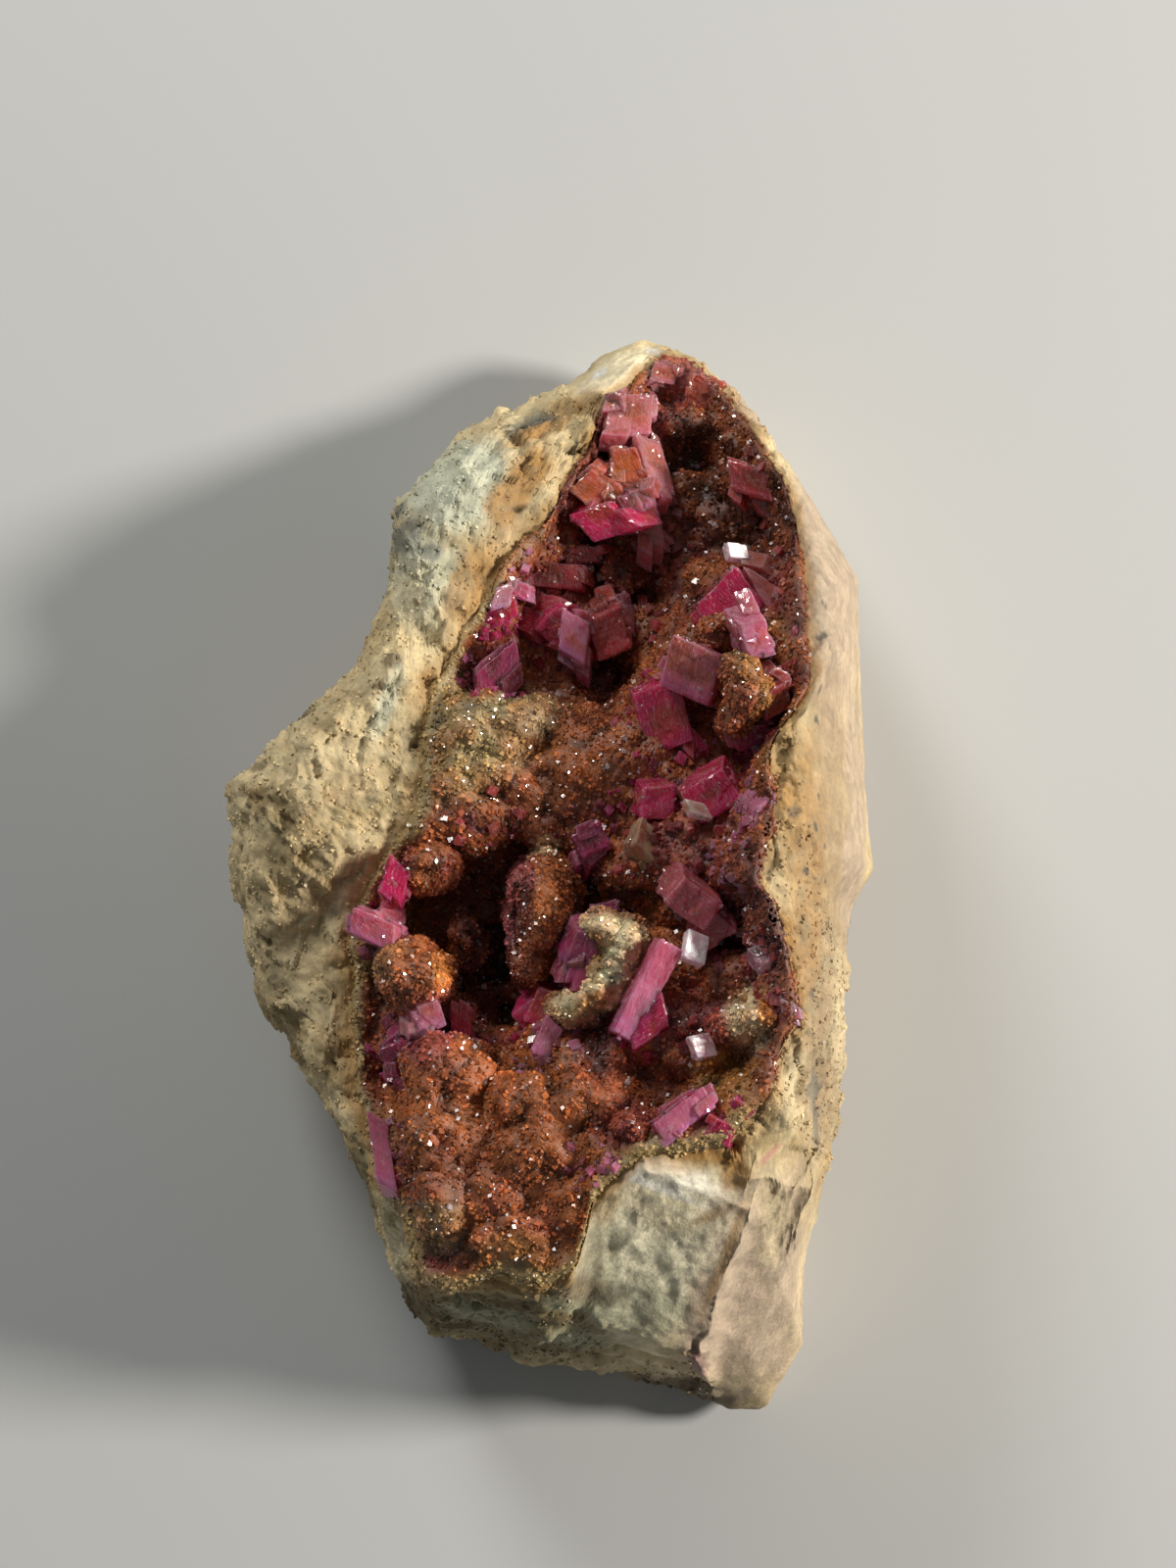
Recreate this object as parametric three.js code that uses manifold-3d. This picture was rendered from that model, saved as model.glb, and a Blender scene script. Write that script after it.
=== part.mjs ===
// A hand-sized piece of dolomite rock with an open hollow, or vug, in its upper side.
// The hollow is lined with one crust of brown druse, and pink rhombs of cobaltoan
// dolomite stand on the crust. Lengths are in millimetres. +Z is up, the rock rests on
// its flat underside at Z = 0, and the hollow opens upwards. X runs across the rock
// from its low left side to its high right side, and Y along it to its narrow tip.

import * as THREE from 'three';
import { mergeVertices } from 'three/addons/utils/BufferGeometryUtils.js';
import Module from 'manifold-3d';

// Both surfaces are drawn as rings of points round one upright line through the hollow.
const CENTRE = { x: 3.5, y: -3 };
const WIDEST_STEP = 10;

// The widest line of the rock, clockwise from its tip: x, y, height of that line, and
// shoulder, which is 1 where the rock slopes evenly up to the rim and more where it
// rises as a wall and then levels off.
const OUTLINE = [
  [9, 52, 9, 1.2], [13, 51, 7, 1.6], [17.5, 47.5, 7, 2], [21.5, 42, 9, 2.2],
  [25.5, 35, 11, 2.4], [29.5, 27, 14, 2.4], [29.5, 16, 16, 2.4], [30, 3, 17, 2.4],
  [30.5, -1.5, 16, 2.4], [28.5, -5, 16, 2.2], [28, -11.5, 15, 2.2], [27.5, -19.5, 14, 2.2],
  [26, -30, 12, 2], [24, -38, 10, 1.8], [24, -45.5, 8, 1.4], [20.5, -52, 4, 1.3],
  [16.5, -52, 4, 1.5], [12.5, -50.5, 5, 1.6], [7.5, -48.5, 6, 1.6], [-1.5, -47.5, 6, 1.7],
  [-6.5, -45.5, 6, 1.7], [-11.5, -44.5, 7, 1.6], [-14, -41.5, 8, 1.6], [-16, -36.5, 9, 1.8],
  [-17, -31, 11, 3], [-20.5, -26, 12, 4], [-23, -21, 12, 4.5], [-25.5, -16.5, 12, 5],
  [-28, -14.5, 12, 6], [-29, -9.5, 13, 7], [-30.5, -2, 14, 7], [-30, 2, 14, 8],
  [-31, 6.5, 15, 8], [-27.5, 10, 15, 8], [-23.5, 14, 15, 8], [-18.5, 18, 14, 7],
  [-17, 23, 13, 6], [-15.5, 27.5, 12, 6], [-15.5, 34.5, 12, 6], [-11, 39, 12, 5],
  [-9, 41.5, 12, 4], [-5, 44, 12, 3], [1.5, 47.5, 10, 2], [5, 50.5, 9, 1.5],
];

// The rim of the hollow, clockwise from the tip: x, y, height.
const RIM = [
  [10, 49.5, 11], [14, 48.5, 11.5], [17, 44, 15], [20.5, 36.5, 22], [22, 32.5, 25.5],
  [22.5, 27.5, 28.5], [23, 22.5, 31], [23, 13, 34], [19.5, 7.5, 36], [19.5, 0, 38],
  [18, -4.5, 38], [19.5, -6.5, 38], [21.5, -14.5, 38], [21.5, -17, 37.5], [19.5, -19.5, 37],
  [19, -23, 37], [17, -25.5, 36.5], [15, -27, 36], [8, -28.5, 34.5], [3.5, -32.5, 33],
  [3, -36, 32], [2, -38.5, 31], [0, -39.5, 30], [-5, -38.5, 28.5], [-9, -40, 27],
  [-11.5, -38.5, 26], [-13.5, -32, 25.5], [-15.5, -28, 23.5], [-17.5, -22.5, 21],
  [-18, -17.5, 20], [-18, -12, 19.5], [-18.5, -6.5, 20], [-17, -4, 20.5], [-14.5, -0.5, 22.5],
  [-12.5, 2, 23.5], [-11.5, 6, 23.5], [-11.5, 10.5, 23], [-10.5, 15, 22.5], [-8.5, 19.5, 22],
  [-5.5, 24, 21], [-3.5, 28, 20.5], [-0.5, 31, 20], [1.5, 35, 19], [4, 39, 17.5],
  [4.5, 42.5, 15], [7.5, 45.5, 12.5],
];

// Heights of the crust between its lumps: x, y, height.
const FLOOR = [
  [12, 46.5, 10], [7.5, 42, 12], [16.5, 41.5, 14], [13, 38.5, 11], [16.5, 32, 12],
  [3.5, 30.5, 12], [9, 26.5, 11], [-2, 23.5, 16], [20.5, 19.5, 27], [5.5, 18.5, 9],
  [0, 17.5, 15], [-7.5, 17.5, 19.5], [14.5, 15.5, 21], [-5.5, 11.5, 24], [3.5, 9, 24.5],
  [18.5, 8.5, 25], [10.5, 8, 25], [-7.5, 4.5, 21], [7, 1.5, 24], [-12, 0.5, 20],
  [14, -1, 26], [-5, -2, 12], [3.5, -3, 19], [-10.5, -5, 13], [-15, -5, 16], [7, -5, 21],
  [0.5, -7, 15], [19, -7.5, 22], [11.5, -8.5, 24], [-5, -9, 9], [3.5, -12, 22],
  [-14.5, -12, 18.5], [-4, -15, 11], [20.5, -15.5, 34], [17.5, -16.5, 31], [12.5, -17, 27],
  [-16.5, -17, 17], [0, -17.5, 24], [7, -19.5, 26], [-5.5, -21, 23], [-15, -21, 16],
  [10.5, -22.5, 29], [-16, -25.5, 18], [-10.5, -25.5, 28], [0, -25.5, 29.5], [5, -25.5, 30],
  [-3.5, -30, 29], [3.5, -32, 30.5], [-10, -32.5, 27], [-3.5, -37, 29.5], [-11, -38, 20],
  [1.5, -38, 30], [8, 42, 13.5], [5, 35.5, 16], [1.5, 31, 15.5], [2, 20.5, 16.5],
  [-5.5, 22.5, 19], [18.5, 36, 18.5], [18, 23, 25.5], [12, 15, 27.5], [19, 17, 31.5],
  [14.5, 4, 28.5], [9, 3, 26.5], [19, 0, 33], [12.5, -6.5, 29], [8.5, -12.5, 29.5],
  [0, -14.5, 22], [-16.5, -7.5, 20.5], [-13.5, -17.5, 22], [-15.5, -27.5, 22.5], [13.5, -25, 34.5],
];

// Broad swellings of the crust: x, y, height of the top, half width, half length.
const MASSES = [
  [-9.5, -21.5, 30, 4.5, 4], [-9.5, -26.5, 31, 4.5, 4], [-9, -31.5, 30, 5, 4],
  [-8, -35, 28.5, 4.5, 4], [-2, -24, 31, 4, 3], [4, -24, 32.5, 4, 3.5],
  [0, -28.5, 32.5, 5, 4], [4.5, -29, 33, 3, 4], [-4, -31.5, 31, 4, 3.5],
  [2.5, -32.5, 33, 3.5, 3.5], [-2, -36, 31.5, 5, 3.5], [-5, -37.5, 29.5, 5, 3.5],
  [2, -36, 31.5, 3.5, 4], [3.5, -20.5, 29.5, 5, 4], [11.5, -17.5, 31.5, 5.5, 4],
  [15, -17.5, 32.5, 3.5, 3], [3.5, 6, 26.5, 7, 5.5], [8, 7, 27, 5, 4.5], [-1, 5.5, 25.5, 6, 4.5],
  [-5.5, 3, 25, 5, 3.5], [0, 2.5, 24.5, 6.5, 3], [4.5, 2, 25, 5, 3.5], [-9, 2, 24.5, 4, 2.5],
  [-8, 8, 25, 5, 5], [-5, 10.5, 25.5, 5, 4], [-2, 11.5, 26, 4, 2.5], [-10, 5, 24.5, 4, 4],
  [-6, 7, 25, 4, 4], [1.5, 9.5, 25, 4, 3], [13.5, -1, 31.5, 5, 4.5], [16, -2, 32.5, 3, 3.5],
  [8, -2, 27.5, 4, 3], [11.5, -11.5, 28, 5, 4], [17, -13, 31, 3, 3], [6.5, 27.5, 15.5, 2, 2.5],
  [3.5, 17.5, 13, 2.5, 2], [13, 35.5, 14, 2.5, 2.5], [17, 32.5, 15, 3.5, 3],
  [13, 25.5, 15.5, 3, 2.5], [20.5, 28.5, 21, 2, 2.5], [13, 42, 15.5, 2.5, 2],
];

// Knobs that stand free of the crust: name, x, y, height of the top, half width, half
// length, turn.
const KNOBS = [
  ['finger knob', -0.7, -6, 28.5, 2.8, 6.5, -6],
  ['upper left knob', -11, -1.5, 25.5, 2.5, 2, 0],
  ['left shelf', -6.5, 1.5, 25, 2.5, 2, 0],
  ['hanging knob', -8, -8, 21.5, 1.5, 2.5, 10],
  ['round left', -12.3, -11.5, 27.5, 3.5, 3.4, 0],
  ['ridge top', 5, -8.5, 33, 2.5, 1.6, -10],
  ['ridge bend', 7, -9.5, 33, 1.8, 2.2, 0],
  ['ridge waist', 5.5, -12.5, 33, 2, 2.6, -25],
  ['ridge tail', 3, -15, 31.5, 3, 1.8, 20],
  ['olive knob', 17.5, 13, 35.5, 2.6, 4, 0],
  ['knob rear', 15, 19, 31, 2.5, 2, 0],
  ['red small', 8, -26, 35, 2.5, 1.8, 0],
  ['row left', 16.5, -17, 35, 3, 2, 0],
  ['row right', 19, -16.5, 37, 2, 1.8, 0],
  ['top right', 18, 40, 18, 2, 2, 0],
];

// Swellings and dents of the rock outside the hollow: name, x, y, rise, half width,
// half length, turn.
const KNOLLS = [
  ['upper left lobe', -8.5, 33.5, 2.5, 5.5, 4, 0],
  ['lobe foot', -11.5, 27, 1.5, 3, 3.5, 0],
  ['left ridge', -15, 16, 2, 3.5, 3, 0],
  ['left crest', -21.5, 10, 1.5, 5.5, 3, 30],
  ['left middle', -24, 2.5, 1.5, 4, 4, 0],
  ['left rib', -19.5, -0.5, 1, 4, 2.5, 0],
  ['left dent', -22.5, -8.5, -3, 3.5, 4, 0],
  ['low rib', -19.5, -11.5, 1.5, 2, 5.5, 0],
  ['nodule', -20.5, -18, 1.5, 2.5, 2, 0],
  ['flank', -17.5, -28, 1, 2, 4.5, 0],
  ['bottom ledge', -5.5, -43, 2, 5.5, 1.5, 0],
  ['bottom dent', -10, -41.5, -1.5, 2.5, 2, 0],
  ['bottom right ledge', 5.5, -44.5, 2, 5.5, 1.5, 0],
  ['right margin', 23.5, 8, 0.8, 2.5, 5.5, 0],
  ['right bulge', 27, 24, 1, 2.5, 7.5, 0],
  ['right dent', 28, -8, -1, 2, 3.5, 0],
  ['right rib', 23.5, -22.5, 1.5, 2.5, 6.5, 0],
  ['tip', 7.5, 47.5, 1.5, 2.5, 2, 30],
];

// A crystal is a leaning block with three pairs of flat faces. A row gives its highest
// corner, x, y, z, then two edges of its upper face, each as length in plan, heading in
// degrees from +X and rise, and last the length of the edge that goes down.
const CRYSTALS = [
  ['tip pink', 10, 49, 12, 3, -10, 0, 2.5, -105, 0, 3],
  ['tall dusty back', 5.5, 44.5, 16, 4.5, 5, -0.5, 4.5, -95, 1, 4],
  ['orange top', 5.5, 38.5, 18.5, 2.5, 10, 0, 4.5, -70, -1, 4],
  ['dusty right', 8, 40.5, 17.5, 2.5, -5, -2, 6, -75, 1, 5],
  ['orange striated', 1.5, 34.5, 19, 3, 40, 0.5, 3, -40, -0.5, 4],
  ['magenta front', 1.5, 32, 19, 4, 15, 1, 3.5, -45, -1, 5],
  ['mauve front', 6.5, 33.5, 20, 3, 15, -0.5, 2.5, -65, -2, 4],
  ['pink granular', 8, 33, 17, 2.5, -15, -0.5, 3, -80, -1, 4],
  ['brick long', -2, 28, 17.5, 4.5, -5, 0, 2.5, -75, -0.5, 4],
  ['pink block left', -1.5, 21, 19, 3.5, 45, 1, 3, -40, -1, 5],
  ['pink block right', 1, 23, 20, 3, -30, -0.5, 4, -95, -1, 5],
  ['brown block', 3.5, 22, 18.5, 3.5, 25, 0, 4, -75, -1.5, 5],
  ['pale grey left', -5, 24.5, 22, 2, 20, 0, 2.5, -105, 0, 3],
  ['magenta streak', -6, 22.5, 21, 3, 30, 0.5, 2, -75, -1, 3],
  ['purple wedge', -3, 19.5, 23.5, 5, -140, -0.5, 4, -85, -1, 4],
  ['magenta back right', 17, 25.5, 28, 5.5, -135, -1, 4.5, -55, 0, 5],
  ['dusty back right', 17.5, 25.5, 28, 4.5, -30, -1, 4.5, -60, -0.5, 5],
  ['mauve block', 11, 18, 32, 5, -25, 0, 5.5, -105, -2, 5],
  ['bright pink right', 17, 18.5, 34.5, 2.5, 15, 0, 3, -75, -1.5, 4],
  ['magenta block', 7.5, 13.5, 27, 4.5, 20, 1, 6, -75, -1, 5],
  ['magenta prong', 12.5, 11, 27, 3, -45, -1, 3.5, -95, -1.5, 4],
  ['purple low', 16, 9.5, 31, 3.5, 10, 0, 2, -60, -1.5, 4],
  ['orange brown right', 19.5, 12.5, 34, 2.5, 30, 0, 2.5, -95, -1.5, 4],
  ['red upper right', 16.5, 37, 21, 4, -20, 1, 3, -80, -0.5, 4],
  ['cube', 15.5, 6, 32, 4.5, -150, -0.5, 3.5, -55, -0.5, 5],
  ['dark magenta', 8.5, 4.5, 30, 3, 5, 0, 3, -95, -0.5, 5],
  ['bright pink rim', 17.2, 1.6, 37, 2, 45, 0, 3, -90, -1, 4],
  ['striated gold', 7.5, 1.5, 29.5, 2.5, -105, -1, 4, -45, -1, 4],
  ['purple cube', 4.5, 2, 27.5, 3, -150, -0.5, 2.5, -60, -0.5, 6],
  ['pink red', 15.5, -0.5, 32, 2.5, -25, 0, 3, -100, -0.5, 4],
  ['striated rhomb', 12, -4, 34, 3, -130, -0.5, 4.5, -35, -1, 5],
  ['glint rhomb', 15, -7, 32, 2.5, -45, -0.5, 3.5, -150, -1, 5],
  ['blade', 10.5, -9, 34, 2.5, -25, -0.5, 9, -120, -3.5, 4],
  ['magenta under blade', 9.5, -15.5, 29, 4, -70, -0.5, 4, -135, -0.5, 5],
  ['purple under ridge', 3, -8.5, 30.5, 4.5, 10, 0, 5, -110, -1, 6],
  ['red magenta', -1, -13, 24.5, 3, -20, 0, 3.5, -115, -1, 5],
  ['pale facet cube', -0.5, -16.5, 26, 2, -40, -0.5, 3.5, -120, -1, 4],
  ['white facet left', -14.5, -1, 25, 2.5, -40, -0.5, 3, -110, -0.5, 4],
  ['long pink left', -18, -5.5, 24.5, 4.5, -25, 0.5, 2.5, -100, -0.5, 4],
  ['pale pink mass', -12.5, -15.5, 26.5, 3.5, 20, 0, 2.5, -75, -1, 4],
  ['magenta knob', -9, -14, 24.5, 2, -25, -0.5, 3, -90, -1, 4],
  ['clear purple', -15.5, -18.5, 23.5, 2.5, 20, 0, 2.5, -70, -1, 4],
  ['purple strip', -16.5, -24, 26, 2.5, -30, 0, 6.5, -80, 1, 3.5],
  ['pink fibrous', 11.5, -23.5, 37, 3, -5, 0, 4.5, -110, -1, 3],
  ['pale right low', 20, -15, 38, 1.5, -15, 0, 2, -80, -0.5, 3],
  ['orange left', -8, 2, 25, 2.5, -5, 0, 2, -80, -1, 4],
];

// Cleaved blocks of the rock itself, given as the crystals are.
const BLOCKS = [
  ['pale block', 8, -29.5, 36, 10.5, -22, -3, 14, -104, -12, 8],
  ['peach block', 17.5, -30.5, 35.5, 5.5, -8, -4, 17, -100, -22, 7],
];

// A crystal's edges lean together by this much.
const EDGE_COSINE = 0.2;

// Thickness of the crust, its clearances, and the evenness of the bed and the floor.
const CRUST_THICKNESS = 3;
const LEAST_THICKNESS = 2.4;
const BED_SOFTNESS = 20;
const FLOOR_SOFTNESS = 0.8;
const GAP = 0.35;
const LIFT = 0.6;

// Shape of the free knobs.
const KNOB_SIDES = 6;
const KNOB_BANDS = 4;
const KNOB_UNEVENNESS = 0.3;
const KNOB_ROOT = 0.6;

// The step inside the rim, the walls of the hollow and the foot of the rock.
const RIM_STEP = 0.6;
const STEP_DROP = 2.4;
const LIP_DROP = 0.1;
const LIP_STEEPNESS = 1;
const WALL_REACH = 3.5;
const CRUST_WALL_REACH = 5;
const MOUTH_TOP = 60;
const UNDERCUT = 1.5;
const UNDERCUT_PER_HEIGHT = 0.3;
const FOOT_SHARE = 0.3;
const FOOT_HEIGHT = 0.45;
const CALM_MARGIN = 3;
const SIDEWAYS_SHARE = 0.6;
const KNOLL_SPREAD = 1.4;
const KNOLL_STEEPNESS = 1.5;
const DOME_FULLNESS = 0.5;
const RELIEF_UNEVENNESS = 0.5;
const RELIEF_WAVE_RATE = 2;
const KNOB_WAVE_RATE = 9;

// Where the rings of points lie: as shares of the slope, in millimetres in from the rim,
// and as shares of the bed and of the crust.
const SLOPE_RINGS = [0.2, 0.42, 0.66, 0.86];
const WALL_RINGS = [1.2, 2.3, 3.6];
const BED_RINGS = [0.78, 0.52, 0.2];
const CRUST_RINGS = [0.88, 0.75, 0.62, 0.49, 0.35, 0.17];

// Uneven rock is a sum of long waves: wave vector x, y, z in radians per millimetre,
// phase and height.
const WAVES = [
  [0.55, 0.21, 0.3, 0.4, 0.35], [-0.32, 0.61, 0.2, 1.9, 0.35], [0.9, -0.48, 0.5, 3.1, 0.22],
  [0.41, 1.12, -0.4, 4.4, 0.2], [1.35, 0.7, 0.6, 0.9, 0.14], [-1.1, 1.25, 0.8, 2.6, 0.14],
];

// Turns a ray off an exact corner, so that it meets only one side of it.
const TINY_TURN = 1e-6;

const radians = (degrees) => degrees * Math.PI / 180;
const mix = (a, b, t) => a + (b - a) * t;

function smooth(from, to, value) {
  const t = Math.min(Math.max((value - from) / (to - from), 0), 1);
  return t * t * (3 - 2 * t);
}

// Where the ray that leaves the centre at an angle meets a closed line of stations.
// Returns its distance from the centre and the stations' other values there.
function crossing(stations, angle) {
  const ray = { x: Math.cos(angle), y: Math.sin(angle) };
  for (let i = 0; i < stations.length; i += 1) {
    const a = stations[i];
    const b = stations[(i + 1) % stations.length];
    const ax = a[0] - CENTRE.x;
    const ay = a[1] - CENTRE.y;
    const dx = b[0] - a[0];
    const dy = b[1] - a[1];
    const turn = ray.x * dy - ray.y * dx;
    const along = (ray.y * ax - ray.x * ay) / turn;
    const distance = (ax * dy - ay * dx) / turn;
    if (along >= 0 && along < 1 && distance > 0) {
      return { distance, values: a.slice(2).map((value, k) => mix(value, b[2 + k], along)) };
    }
  }
  throw new Error('The line of stations does not surround the centre.');
}

// Squared distance of a point from the middle of an oval, where 1 is on its edge.
function ovalReach(x, y, oval) {
  const [cx, cy, halfWidth, halfLength, turn] = oval;
  const c = Math.cos(radians(turn));
  const s = Math.sin(radians(turn));
  const u = ((x - cx) * c + (y - cy) * s) / halfWidth;
  const v = ((y - cy) * c - (x - cx) * s) / halfLength;
  return u * u + v * v;
}

function roughness(x, y, z) {
  return WAVES.reduce((sum, [kx, ky, kz, phase, height]) => (
    sum + height * Math.sin(kx * x + ky * y + kz * z + phase)), 0);
}

// The mean of the listed floor heights, each weighted by one over the cube of its
// distance. Softness, in square millimetres, evens out the hills and pits.
function meanHeight(x, y, softness) {
  let total = 0;
  let weights = 0;
  for (const [fx, fy, height] of FLOOR) {
    const weight = 1 / ((x - fx) ** 2 + (y - fy) ** 2 + softness) ** 1.5;
    total += weight * height;
    weights += weight;
  }
  return total / weights;
}

// The rock under the crust is a smoother bowl than the crust's own floor.
const bedHeight = (x, y) => meanHeight(x, y, BED_SOFTNESS) - CRUST_THICKNESS;

// The highest of the floor and the domes of the masses, which rise from the floor.
function reliefHeight(x, y) {
  const floor = meanHeight(x, y, FLOOR_SOFTNESS);
  let height = floor;
  for (const [cx, cy, top, halfWidth, halfLength] of MASSES) {
    const reach = ovalReach(x, y, [cx, cy, halfWidth, halfLength, 0]);
    if (reach < 1) {
      height = Math.max(height, floor + (top - floor) * (1 - reach) ** DOME_FULLNESS);
    }
  }
  return height + RELIEF_UNEVENNESS * roughness(RELIEF_WAVE_RATE * x, RELIEF_WAVE_RATE * y, 0);
}

function knollRise(x, y) {
  return KNOLLS.reduce((sum, [, cx, cy, rise, halfWidth, halfLength, turn]) => {
    const oval = [cx, cy, KNOLL_SPREAD * halfWidth, KNOLL_SPREAD * halfLength, turn];
    return sum + rise * Math.exp(-KNOLL_STEEPNESS * ovalReach(x, y, oval));
  }, 0);
}

// A direction through each corner of the outline, and more between corners far apart.
function directionAngles() {
  const corners = OUTLINE.map(([x, y]) => Math.atan2(y - CENTRE.y, x - CENTRE.x)).sort((a, b) => a - b);
  return corners.flatMap((angle, i) => {
    const next = i + 1 < corners.length ? corners[i + 1] : corners[0] + 2 * Math.PI;
    const steps = Math.ceil((next - angle) / radians(WIDEST_STEP));
    return Array.from({ length: steps }, (unused, k) => mix(angle, next, k / steps));
  });
}

// One entry for each direction round the centre.
const sections = directionAngles().map((angle) => {
  const outline = crossing(OUTLINE, angle + TINY_TURN);
  const rim = crossing(RIM, angle);
  return {
    ray: { x: Math.cos(angle), y: Math.sin(angle) },
    outline: { distance: outline.distance, height: outline.values[0], shoulder: outline.values[1] },
    rim: { distance: rim.distance, height: rim.values[0] },
  };
});

const DIRECTIONS = sections.length;

function place(section, distance, height) {
  return [CENTRE.x + section.ray.x * distance, CENTRE.y + section.ray.y * distance, height];
}

function ring(pointOf) {
  return sections.map(pointOf);
}

const apart = (p, q) => Math.hypot(p[0] - q[0], p[1] - q[1], p[2] - q[2]);

// A closed solid from rings that run from a first point, out and round, to a last point.
// Each four-sided patch is folded along its shorter diagonal.
function ringSolid(firstPoint, rings, lastPoint) {
  const positions = [firstPoint, ...rings.flat(), lastPoint].flat();
  const last = 1 + rings.length * DIRECTIONS;
  const triangles = [];
  for (let i = 0; i < DIRECTIONS; i += 1) {
    const next = (i + 1) % DIRECTIONS;
    triangles.push(0, 1 + next, 1 + i);
    for (let j = 0; j + 1 < rings.length; j += 1) {
      const low = 1 + j * DIRECTIONS;
      const high = low + DIRECTIONS;
      if (apart(rings[j][i], rings[j + 1][next]) < apart(rings[j][next], rings[j + 1][i])) {
        triangles.push(low + i, low + next, high + next, low + i, high + next, high + i);
      } else {
        triangles.push(low + i, low + next, high + i, low + next, high + next, high + i);
      }
    }
    const end = 1 + (rings.length - 1) * DIRECTIONS;
    triangles.push(end + i, end + next, last);
  }
  return { positions, triangles };
}

// A point of the rock's bed under the crust, at a distance from the centre.
function hollowPoint(section, distance) {
  const [x, y] = place(section, distance, 0);
  const inward = section.rim.distance - distance;
  const wall = section.rim.height - CRUST_THICKNESS;
  return place(section, distance, mix(wall, bedHeight(x, y), smooth(0, WALL_REACH, inward)));
}

// The places of the bed's rings along one direction, from the rim inwards.
function bedDistances(section) {
  const rim = section.rim.distance;
  const reach = rim - WALL_RINGS[WALL_RINGS.length - 1];
  return [...WALL_RINGS.slice(1).map((inward) => rim - inward), ...BED_RINGS.map((share) => share * reach)];
}

function hollowRings() {
  const rings = [ring((s) => place(s, s.rim.distance - RIM_STEP, s.rim.height - STEP_DROP))];
  bedDistances(sections[0]).forEach((unused, k) => {
    rings.push(ring((s) => hollowPoint(s, bedDistances(s)[k])));
  });
  return rings;
}

// The height of the bed's straight facets along one direction.
function facetHeight(section, distance) {
  const stops = [...bedDistances(section), 0];
  const k = Math.min(stops.findIndex((stop) => stop <= distance), stops.length - 1);
  if (k <= 0) {
    return hollowPoint(section, distance)[2];
  }
  const share = (distance - stops[k]) / (stops[k - 1] - stops[k]);
  return mix(hollowPoint(section, stops[k])[2], hollowPoint(section, stops[k - 1])[2], share);
}

function hollowMiddle() {
  return [CENTRE.x, CENTRE.y, bedHeight(CENTRE.x, CENTRE.y)];
}

function rockSolid() {
  const undercut = (s) => UNDERCUT + UNDERCUT_PER_HEIGHT * s.outline.height;
  const rings = [
    ring((s) => place(s, s.outline.distance - undercut(s), 0)),
    ring((s) => {
      const distance = s.outline.distance - FOOT_SHARE * undercut(s);
      const [x, y, z] = place(s, distance, FOOT_HEIGHT * s.outline.height);
      return [x + roughness(x, y, z), y + roughness(y, x, z), z];
    }),
    ring((s) => place(s, s.outline.distance, s.outline.height)),
  ];
  for (const share of SLOPE_RINGS) {
    rings.push(ring((s) => {
      const distance = mix(s.outline.distance, s.rim.distance, share);
      const [x, y] = place(s, distance, 0);
      const climb = 1 - (1 - share) ** s.outline.shoulder;
      const height = mix(s.outline.height, s.rim.height, climb);
      const room = Math.min(1, (distance - s.rim.distance) / CALM_MARGIN);
      const uneven = room * roughness(x, y, height);
      const rise = room * knollRise(x, y) + uneven;
      return place(s, distance + SIDEWAYS_SHARE * uneven, height + rise);
    }));
  }
  rings.push(ring((s) => place(s, s.rim.distance, s.rim.height)));
  rings.push(...hollowRings());
  return ringSolid([0, 0, 0], rings, hollowMiddle());
}

// The space above the hollow, straight up from the rim, which the rock keeps clear of.
function mouthSolid() {
  const rings = hollowRings().reverse();
  rings.push(ring((s) => place(s, s.rim.distance, s.rim.height)));
  rings.push(ring((s) => place(s, s.rim.distance, MOUTH_TOP)));
  return ringSolid(hollowMiddle(), rings, [CENTRE.x, CENTRE.y, MOUTH_TOP]);
}

function crustSolid() {
  const lining = hollowRings().map((points, k) => points.map(([x, y, z], i) => {
    const inset = k === 0 ? GAP : 0;
    return [x - inset * sections[i].ray.x, y - inset * sections[i].ray.y, z + LIFT];
  }));
  lining.reverse();
  const top = [ring((s) => place(s, s.rim.distance - GAP, s.rim.height - LIP_DROP))];
  const crustPoint = (s, distance) => {
    const [x, y] = place(s, distance, 0);
    const inward = s.rim.distance - distance;
    const relief = mix(s.rim.height, reliefHeight(x, y), smooth(0, CRUST_WALL_REACH, inward));
    const lip = s.rim.height - LIP_STEEPNESS * inward ** 2;
    const least = facetHeight(s, distance) + LEAST_THICKNESS;
    return place(s, distance, Math.max(relief, lip, least));
  };
  for (const inward of WALL_RINGS) {
    top.push(ring((s) => crustPoint(s, s.rim.distance - inward)));
  }
  const reach = WALL_RINGS[WALL_RINGS.length - 1];
  for (const share of CRUST_RINGS) {
    top.push(ring((s) => crustPoint(s, share * (s.rim.distance - reach))));
  }
  const [x, y, z] = hollowMiddle();
  return ringSolid([x, y, z + LIFT], [...lining, ...top], [x, y, reliefHeight(x, y)]);
}

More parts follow.
